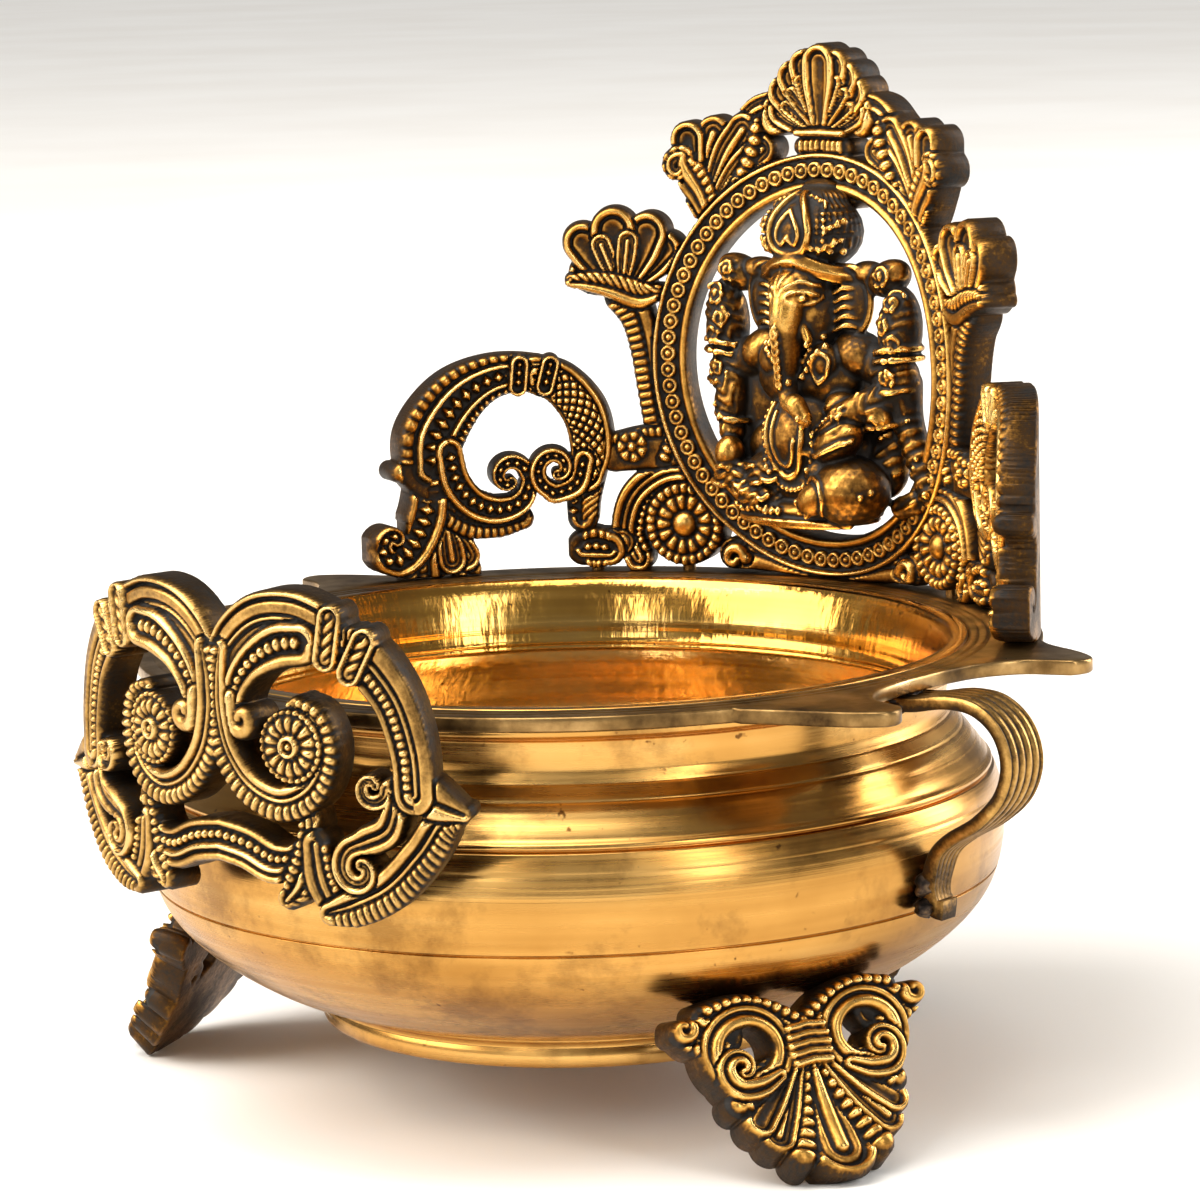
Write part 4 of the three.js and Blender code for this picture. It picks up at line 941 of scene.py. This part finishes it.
# the seated figure: lumps, limbs and beads in (across, up, out), melted into one skin and bent on to the arch
# each lump has its centre, its half sizes, and its turn in degrees as seen from the front
figure = {
    "skin": 0.34, "carving": 0.3, "back": -1.5,
    "middle": [
        [(0, 17.2, 9), (22, 3.4, 9.5), 0], [(0, 15.2, 9), (20, 1.6, 10.5), 0], [(0, 24, 9), (16, 8, 8), 0],
        [(0, 34, 9.5), (12.5, 11, 10), 0], [(0, 47, 7.5), (15.5, 9, 8.5), 0],
        [(0, 62, 9), (9.5, 12, 8.5), 0], [(0, 67, 12.5), (8.2, 6.5, 6.5), 0],
        [(0, 60, 14.5), (4.8, 8, 5.2), 0], [(0, 79.4, 7), (13, 9.2, 10), 0],
        [(0, 86.4, 5), (8.6, 3.2, 6.4), 0], [(0, 89.2, 3), (5, 1.8, 4), 0]],
    "pairs": [
        [(11.5, 63.5, 6.5), (6.4, 8.2, 3.2), -12], [(14, 52.5, 6.5), (7, 5, 6), -20],
        [(7.5, 51, 12.5), (5, 4.2, 3.2), 0], [(25.6, 58.5, 4.5), (5.4, 9.6, 5), -4],
        [(22, 69.6, 4.5), (6, 4, 4.6), 24], [(16, 70.5, 5.5), (5, 2.8, 3.4), 0],
        [(25, 47.5, 5), (5, 6.4, 4.8), 8], [(17, 40, 3.6), (8.4, 13, 4.4), -4],
        [(19, 28, 4), (7, 8, 4.6), 0], [(20.5, 33.5, 4), (5.6, 7, 3.6), 0], [(12, 30.5, 6.5), (7, 6, 5), 0],
        [(9, 26, 11), (9, 5, 7), -12], [(5, 57.5, 16), (1.3, 3.4, 1.4), 30]],
    "left": [
        [(-23.4, 41.5, 6.5), (4.8, 9, 5), -4], [(-22, 29, 12.5), (3.9, 4.2, 3.9), 0],
        [(-19, 24.4, 10), (8.5, 3, 6), 8], [(-12, 20.5, 13), (9, 2.6, 5.5), -4],
        [(-23, 34, 9), (3.3, 3.2, 3.4), 0]],
    "right": [
        [(16.5, 22.4, 12.5), (10.8, 7.9, 8.6), 0], [(10.2, 20.8, 19.2), (5.4, 3.7, 2.9), 18],
        [(14.5, 33.4, 14.5), (7.8, 4.4, 5), 24], [(13.4, 37.2, 14), (6.2, 2.3, 3.6), 24],
        [(22.5, 40.5, 9.5), (5.6, 3.2, 3.6), -34], [(13, 41, 12), (4.5, 3.6, 4), 0]],
    # each limb is a run of [across, up, out, radius]
    "limbs": [
        [[0, 66, 15.5, 5.6], [0, 60, 17.4, 4.6], [0, 53, 17.6, 3.5], [-0.4, 47, 17.4, 2.7],
         [1.6, 42.6, 18.6, 2.5], [5, 41.4, 19.4, 2.5], [7.6, 38.8, 19.4, 2.1]],
        [[12, 53, 6, 5], [20, 50, 5.5, 4.6], [25.6, 48, 5, 4.8]],
        [[-12, 53, 6, 5], [-20, 50, 5.5, 4.6], [-24.6, 48, 5, 4.6]],
        [[26, 46, 4, 4.4], [27, 38, 3.6, 3.6], [30.6, 29, 3, 3.2], [34, 22, 2.8, 2.8]],
        [[30, 20, 3.5, 2.8], [25, 18.6, 4, 2.8]],
        [[25, 44, 5, 4.2], [21, 41.8, 10, 3.8], [15.6, 39.4, 14, 3.2]]],
    # fine raised lines, as runs of [across, up, out], with the radius and how far apart their beads are
    "lines": [
        ([[-1, 88, 12.5], [-4.8, 84, 15.2], [-6.4, 79.6, 15.9], [-4.4, 76, 16.6], [0, 74.9, 17],
          [4.4, 76, 16.6], [6.4, 79.6, 15.9], [4.8, 84, 15.2], [1, 88, 12.5]], 1.19, 0.3),
        ([[0, 84.6, 16], [-2.8, 81.6, 16.6], [-3.6, 79, 17], [-2.2, 77.2, 17.2], [0, 78.6, 17.2]], 0.75,
         0.3),
        ([[0, 84.6, 16], [2.8, 81.6, 16.6], [3.6, 79, 17], [2.2, 77.2, 17.2], [0, 78.6, 17.2]], 0.75, 0.3),
        ([[-13, 69.6, 4], [-12, 70, 8.4], [-8.8, 71, 12.4], [-4, 72.8, 15], [0, 73.4, 15.6], [4, 72.8, 15],
          [8.8, 71, 12.4], [12, 70, 8.4], [13, 69.6, 4]], 2.3, 0.4),
        ([[13.6, 74.4, 5], [11.4, 75.4, 11.6], [6.6, 76.4, 15]], 1.12, 1.3),
        ([[-13.6, 74.4, 5], [-11.4, 75.4, 11.6], [-6.6, 76.4, 15]], 1.12, 1.3),
        ([[5.5, 73, 14.8], [8.5, 76.5, 12.4], [9.6, 81, 11.4], [8, 85.4, 9.6]], 0.75, 1.3),
        ([[-5.5, 73, 14.8], [-8.5, 76.5, 12.4], [-9.6, 81, 11.4], [-8, 85.4, 9.6]], 0.75, 1.3),
        ([[9.4, 76.4, 12], [12, 78, 7.6]], 0.88, 0.3), ([[-9.4, 76.4, 12], [-12, 78, 7.6]], 0.88, 0.3),
        ([[9.8, 80.2, 11.6], [12.2, 82, 6]], 0.88, 0.3), ([[-9.8, 80.2, 11.6], [-12.2, 82, 6]], 0.88, 0.3),
        ([[-7.6, 86, 8.6], [-3.4, 87.4, 11], [3.4, 87.4, 11], [7.6, 86, 8.6]], 0.88, 1.1),
        ([[-9.6, 54.5, 12], [-6, 51, 15.4], [-3.4, 47.6, 17], [0, 46, 17.4], [3.4, 47.6, 17], [6, 51, 15.4],
          [9.6, 54.5, 12]], 1.1, 1.25),
        ([[-7.6, 56.4, 12], [-5, 53.6, 15], [-3.2, 51, 16.6]], 1.0, 1.1),
        ([[7.6, 56.4, 12], [5, 53.6, 15], [3.2, 51, 16.6]], 1.0, 1.1),
        ([[8, 46.2, 15.4], [10.6, 48.6, 14.4], [11.4, 51.6, 12.6], [8.6, 53, 13.4], [6.4, 49.6, 15.6],
          [8, 46.2, 15.4]], 0.7, 0.3),
        ([[-5.6, 41, 18.2], [-7, 35, 18.4], [-5.4, 28.4, 18.6], [-1, 25, 18.8], [3.4, 27.6, 18.8],
          [5.4, 33, 18.6], [5.6, 37, 18.4]], 1.06, 0.3),
        ([[-3.6, 39.6, 19.2], [-4.6, 34, 19.6], [-3.2, 29.4, 19.4], [-0.6, 27.6, 19.3], [2, 29.4, 19.5],
          [3.2, 33.4, 19.7]], 0.75, 0.3),
        ([[7.6, 39, 17.2], [8, 35, 17.6], [7.6, 31, 17.6], [6.4, 27, 17.6]], 0.94, 1.35),
        ([[-8, 41, 16.6], [-9.2, 35, 17], [-8.2, 28.6, 17], [-4.4, 23.4, 17.4], [0, 22, 17.8], [4, 23, 18]],
         0.75, 1.15),
        ([[-20, 14.9, 14], [-10, 14.5, 18], [0, 14.4, 19.4], [10, 14.5, 18.6], [19, 15, 14]], 1, 0.3),
        ([[-19, 17.6, 13.6], [-10, 17.6, 17.6], [-3, 17.4, 19]], 1.25, 2.2),
        ([[-27, 22.6, 9], [-20, 22, 15], [-12, 23.4, 18], [-5, 24.4, 17.4]], 1, 0.3),
        ([[-26, 26, 9.4], [-19, 26.6, 15], [-12, 27, 16.6]], 0.88, 0.3),
        ([[-22, 19.4, 12], [-14, 19, 17.4], [-7, 20.4, 18.6]], 0.88, 0.9),
        ([[6, 31, 17.6], [10, 30.4, 19], [17, 32.6, 17.6], [23, 35, 13]], 0.88, 0.3),
        ([[8, 35.4, 18.4], [13, 38.6, 17.4], [19, 40.6, 13.4]], 0.75, 1.2),
        ([[5.4, 20, 20.2], [6.4, 18, 20.6], [9, 17.2, 21]], 1, 1.3),
        ([[6, 24, 19], [9.4, 25.4, 20.2], [14, 24.6, 20.4], [16, 21, 20.4], [13.6, 17.6, 20.4]], 0.75, 0.3),
        ([[18.4, 43.4, 12.6], [17.4, 40.8, 15.4], [17.6, 38, 14.8]], 0.75, 0.3),
        ([[20, 44.4, 11.8], [19.2, 41.6, 14.4], [19.6, 38.6, 13.8]], 0.75, 0.3),
        ([[26, 22, 5.6], [31, 27, 4.8], [33, 33, 4.8], [28.8, 40, 6]], 0.75, 1.3),
        ([[34, 24, 5.2], [37.4, 20.4, 4]], 1.12, 1.6)],
    # rings of bangles: [across, up, out], radius of the arm, and the turn in degrees
    "bangles": [[(25.4, 51.6, 4.8), 5.3, 8], [(25.3, 53.8, 4.8), 5.2, 8], [(25, 44.6, 5.2), 4.9, 8],
                [(23, 36.8, 7.4), 4.3, 10]],
}


# the figure as overlapping balls: lumps, limbs, raised lines and beads, as one list of points and of faces
def figureBalls():
    bigPoints, bigFaces = roundLump(3)
    smallPoints, smallFaces = roundLump(1)
    points, faces = [], []

    def add(centre, sizes, degrees=0, big=True):
        shape, sides = (bigPoints, bigFaces) if big else (smallPoints, smallFaces)
        p = shape * sizes
        a = math.radians(degrees)
        turned = np.column_stack([p[:, 0] * math.cos(a) - p[:, 1] * math.sin(a),
                                  p[:, 0] * math.sin(a) + p[:, 1] * math.cos(a), p[:, 2]])
        faces.append(sides + sum(len(q) for q in points))
        points.append(turned + centre)

    lumps = figure["middle"] + figure["left"] + figure["right"]
    lumps += [((side * c[0], c[1], c[2]), z, side * d) for side in (1, -1) for c, z, d in figure["pairs"]]
    limbLumps = sum(len(limb) for limb in figure["limbs"])
    lumps += [((a, u, o), (r, r, r), 0) for limb in figure["limbs"] for a, u, o, r in limb]

    # how far out the skin is at a place
    def surface(across, up):
        best = -9.0
        for (ca, cu, co), (wide, high, deep), degrees in lumps:
            turn = math.radians(degrees)
            x = ((across - ca) * math.cos(turn) + (up - cu) * math.sin(turn)) / wide
            y = (-(across - ca) * math.sin(turn) + (up - cu) * math.cos(turn)) / high
            if x * x + y * y < 0.98:
                best = max(best, co + deep * math.sqrt(1 - x * x - y * y))
        return best

    def run(line, spacing):
        p = np.array(line, float)
        p = np.vstack([2 * p[:1] - p[1:2], p, 2 * p[-1:] - p[-2:-1]])
        done = []
        for a, b, c, d in zip(p[:-3], p[1:-2], p[2:-1], p[3:]):
            count = max(1, round(np.linalg.norm((c - b)[:3]) / spacing))
            t = (np.arange(count) / count)[:, None]
            done.append(0.5 * (2 * b + (c - a) * t + (2 * a - 5 * b + 4 * c - d) * t**2
                               + (3 * b - a - 3 * c + d) * t**3))
        return np.vstack(done + [p[-2:-1]])

    for centre, sizes, degrees in lumps[:len(lumps) - limbLumps]:
        add(centre, sizes, degrees)
    for limb in figure["limbs"]:
        for a, u, o, r in run(limb, 0.9):
            add((a, u, o), (r, r, r))
    for line, radius, spacing in figure["lines"]:
        for a, u, o in run(line, 0.3 if spacing < 1 else 2.1 * radius):
            out = o if radius > 1.5 else surface(a, u) + 0.15 * radius
            if out > -5:
                add((a, u, out), (radius,) * 3, big=False)
    turns = np.arange(0, 360, 6)
    for side in (1, -1):
        for (across, up, out), radius, degrees in figure["bangles"]:
            for t in np.radians(turns):
                sweep = radius * math.cos(t)
                a = math.radians(degrees)
                add((side * (across + sweep * math.cos(a)), up + sweep * math.sin(a),
                     out + radius * math.sin(t)), (0.85,) * 3, big=False)
        # eyes and brows
        for angle in np.radians(np.arange(0, 360, 8)):
            a, u = 5.2 + 2.9 * math.cos(angle), 65.4 + 1.5 * math.sin(angle) * abs(math.sin(angle)) ** 0.3
            add((side * a, u, surface(side * a, u) + 0.15), (0.5,) * 3, big=False)
        add((side * 5.2, 65.3, surface(5.2, 65.3) - 0.1), (1.6, 0.7, 0.9))
        for a, u, _ in run([[2.2, 67.8, 0], [5, 69.2, 0], [8, 68.0, 0]], 0.3):
            add((side * a, u, max(surface(side * a, u), 12) + 0.1), (0.5,) * 3, big=False)
        # ribs of the fan ears, and their rolled edge
        for k in range(6):
            height = 58.4 + 2.1 * k
            for p in run([[side * 9.2, height - 0.6, 10.2], [side * 12.4, height + 0.6, 9.9],
                          [side * (16.0 - 0.16 * (k - 2) ** 2), height + 0.2, 7.8]], 0.3):
                add(p, (0.72,) * 3, big=False)
        for p in run([[side * 9.5, 72, 9], [side * 15, 71.6, 8.4], [side * 18, 67, 7], [side * 17, 60, 7],
                      [side * 12.6, 55.4, 8.6]], 0.35):
            add(p, (0.95,) * 3, big=False)
        # scrolls carved on the raised arms
        for k, (across, up, size) in enumerate(((27.4, 64.6, 2.6), (25.6, 59.6, 2.2), (28, 56, 1.8),
                                                (23.6, 70.6, 2.4), (26.6, 48, 2))):
            for a, u, _ in spiral((across, up), (size, 0.3), (40 + 70 * k, 560 + 70 * k), (1, 1), 44):
                add((side * a, u, max(surface(side * a, u), 6) + 0.1), (0.72,) * 3, big=False)
    # small scrolls down the middle of the trunk
    for k in range(7):
        height = 57.6 - 1.9 * k
        for a, u, _ in spiral((0, height), (1.5 - 0.08 * k, 0.3), (90, 520), (1, 1), 24):
            add((a, u, 22.1 - 0.23 * k), (0.62,) * 3, big=False)
    for k in range(12):
        add((-24.4 + 2.3 * math.cos(2.4 * k), 35.6 + 1.05 * k, 10.2), (0.95, 0.7, 0.9), 40 * k, big=False)
    return np.vstack(points), np.vstack(faces)


# melts the balls into one skin and gives its mesh, its points and a function that relaxes values over it
def meltedSkin(points, faces):
    rough = newMesh("figureRough", points, faces.tolist(), figureBrass)
    skin = rough.modifiers.new("skin", "REMESH")
    skin.mode, skin.voxel_size = "VOXEL", figure["skin"]
    melted = bpy.data.meshes.new_from_object(rough.evaluated_get(bpy.context.evaluated_depsgraph_get()))
    bpy.data.objects.remove(rough)
    places = np.empty(len(melted.vertices) * 3)
    melted.vertices.foreach_get("co", places)
    places = places.reshape(-1, 3)
    ends = np.empty(len(melted.edges) * 2, np.int32)
    melted.edges.foreach_get("vertices", ends)
    ends = ends.reshape(-1, 2)
    count = np.bincount(ends.ravel(), minlength=len(places))[:, None]

    def relaxed(p, times):
        for _ in range(times):
            total = np.stack([np.bincount(ends[:, 0], p[ends[:, 1], k], len(p))
                              + np.bincount(ends[:, 1], p[ends[:, 0], k], len(p)) for k in range(3)], 1)
            p = 0.5 * p + 0.5 * total / np.maximum(count, 1)
        return p

    return melted, relaxed(places, 1), relaxed


# carving on the figure's skin, from -1 in lines to 1 on ridges, and the lift in wear where it is smooth
def figureCarving(skinPoints, facing):
    across, up, out = skinPoints.T
    aside = np.abs(across)
    soft = lambda x, low, high: np.clip((x - low) / 0.8, 0, 1) * np.clip((high - x) / 0.8, 0, 1)
    wave = lambda x, length: np.sin(2 * math.pi * x / length)
    roundways = np.arctan2(across, out - 6) * 11
    crown = soft(aside + np.maximum(0, 12 - out), 7, 60) * soft(up, 75.5, 88.5)
    banded = np.where(up < 79, wave(roundways, 1.9),
                      np.where(up < 84.6, wave(roundways + up, 3) * wave(roundways - up, 3) * 1.5,
                               wave(roundways, 1.7)))
    carved = crown * np.where(np.abs(up - 79) < 0.4, -1, np.where(np.abs(up - 84.6) < 0.4, -1, banded))
    curls = wave(aside * 0.5 + up + 1.5 * wave(0.6 * up - aside, 6.8), 3.5)
    carved += 0.7 * soft(aside, 20.4, 40) * soft(up, 33.5, 73) * curls * (out > 2)
    carved += soft(-across, 4, 40) * soft(up, 16, 27.5) * wave(up + 0.9 * wave(across, 9), 2.4)
    carved += soft(across, 20, 40) * soft(up, 18, 38) * wave(0.8 * up - 0.5 * across, 2.6)
    carved += soft(across, 9, 19.5) * soft(up, 35, 42) * wave(up - 0.5 * across, 2.5)
    dome = ((across - 16.5) / 11.6) ** 2 + ((up - 22.4) / 8.6) ** 2 + ((out - 12.5) / 9.4) ** 2
    face = (across / 9) ** 2 + ((up - 65) / 8.5) ** 2 + ((out - 18) / 6) ** 2
    smooth = np.clip((1.12 - np.minimum(dome, face)) / 0.2, 0, 1)
    brow = np.abs(aside - 0.42 * (up - 66.4)) < 0.32
    carved = np.clip(carved, -1, 1) * (1 - smooth) - 1.4 * (brow & (up > 66.4) & (up < 72.4) & (out > 13))
    carved = carved * np.clip(facing + 0.6, 0, 1)
    return carved, np.where(dome < face, -0.02, 0.22) * smooth


def makeFigure(name):
    melted, skinPoints, relaxed = meltedSkin(*figureBalls())
    normals = np.empty(skinPoints.size)
    melted.vertices.foreach_get("normal", normals)
    normals = normals.reshape(-1, 3)
    facing, out = normals[:, 2], skinPoints[:, 2]
    carved, polish = figureCarving(skinPoints, facing)
    fine = np.einsum("ij,ij->i", skinPoints - relaxed(skinPoints, 10), normals)
    broad = np.einsum("ij,ij->i", skinPoints - relaxed(skinPoints, 90), normals)
    wear = 0.3 + 2.2 * fine + 0.36 * broad + 0.01 * (out - 10) + 0.08 * facing + 0.17 * carved + polish
    wear = np.clip(np.maximum(wear, 0.4 * np.clip(-3 * facing, 0, 1)), 0, 1)
    skinPoints = skinPoints + normals * (figure["carving"] * carved)[:, None]
    skinPoints[:, 2] = np.maximum(skinPoints[:, 2], figure["back"])
    sides = [list(f.vertices) for f in melted.polygons]
    piece = newMesh(name, onArch(*skinPoints.T), sides, figureBrass, wear)
    outward(piece)
    return piece


standIn(makeFigure("figureCast"), "seated_figure")
print("figure cast")

for node in [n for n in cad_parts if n.startswith("arch_screw")]:
    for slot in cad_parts[node].material_slots:
        slot.material = collarBrass


# metres, watts and degrees round from the front to the right
studio = {
    "floor": 20.0, "wall": "#f2efea", "wallLight": 0.22, "sky": 2.2, "aim": 0.12,
    "boxes": {
        "keyBox": {"turn": -34, "height": 1.7, "distance": 3.1, "size": (2.8, 2.2), "power": 120,
                   "colour": "#fff6ea"},
        "gapStrip": {"turn": 16, "height": 1.5, "distance": 3.9, "size": (0.36, 2.4), "power": 19,
                     "colour": "#ffffff"},
        "sideStrip": {"turn": 74, "height": 1.6, "distance": 3.6, "size": (0.66, 2.7), "power": 45,
                      "colour": "#ffffff"},
        "backStrip": {"turn": 152, "height": 1.4, "distance": 3.3, "size": (1.05, 2.7), "power": 90,
                      "colour": "#ffffff"},
        "topBox": {"turn": 20, "height": 4.2, "distance": 0.75, "size": (2.4, 2.4), "power": 90,
                   "colour": "#fffaf2"}}}

far = studio["floor"]
floorMesh = newMesh("studioFloor", [(-far, -far, 0), (far, -far, 0), (far, far, 0), (-far, far, 0)],
                    [(0, 1, 2, 3)], paleFloor("paleFloor"), smooth=False)

scene = bpy.context.scene
scene.view_settings.view_transform = "Standard"
world = bpy.data.worlds.new("studio")
world.use_nodes = True
world.node_tree.nodes["Background"].inputs["Color"].default_value = linear(studio["wall"])
world.node_tree.nodes["Background"].inputs["Strength"].default_value = studio["wallLight"]
scene.world = world

# an area light that faces the bowl
def softbox(name, turn, height, distance, size, power, colour):
    light = bpy.data.lights.new(name, "AREA")
    light.shape = "RECTANGLE"
    light.size, light.size_y = size
    light.energy = power
    light.color = linear(colour)[:3]
    lamp = bpy.data.objects.new(name, light)
    a = math.radians(turn)
    lamp.location = (math.sin(a) * distance, -math.cos(a) * distance, height)
    toward = Vector((0, 0, studio["aim"])) - lamp.location
    lamp.rotation_euler = toward.to_track_quat("-Z", "Y").to_euler()
    scene.collection.objects.link(lamp)


for name, box in studio["boxes"].items():
    softbox(name, **box)

sun = bpy.data.lights.new("wideSky", "SUN")
sun.energy, sun.angle = studio["sky"], math.radians(40)
sunLamp = bpy.data.objects.new("wideSky", sun)
sunLamp.rotation_euler = (math.radians(28), math.radians(-14), 0)
scene.collection.objects.link(sunLamp)

# millimetres and radians, from the bowl's axis and its rim
view = {"turn": math.radians(39.5), "down": 0.159, "roll": 0.025, "distance": 950.0, "aside": 6.2,
        "above": 160.2, "lens": 136.4}
camera = bpy.data.objects.new("camera", bpy.data.cameras.new("camera"))
camera.data.lens = view["lens"]
camera.data.sensor_width = 36
camera.data.clip_start, camera.data.clip_end = 0.01, 50
c, s = math.cos(view["turn"]), math.sin(view["turn"])
camera.location = Vector((view["aside"] * c + view["distance"] * s,
                          view["aside"] * s - view["distance"] * c, rim + view["above"])) * mm
ahead = Vector((-s * math.cos(view["down"]), c * math.cos(view["down"]), -math.sin(view["down"])))
right = Vector((c, s, 0))
up = right.cross(ahead)
turnedRight = right * math.cos(view["roll"]) - up * math.sin(view["roll"])
turnedUp = right * math.sin(view["roll"]) + up * math.cos(view["roll"])
camera.rotation_euler = Matrix((turnedRight, turnedUp, -ahead)).transposed().to_euler()
scene.collection.objects.link(camera)
scene.camera = camera

print("scene ready")
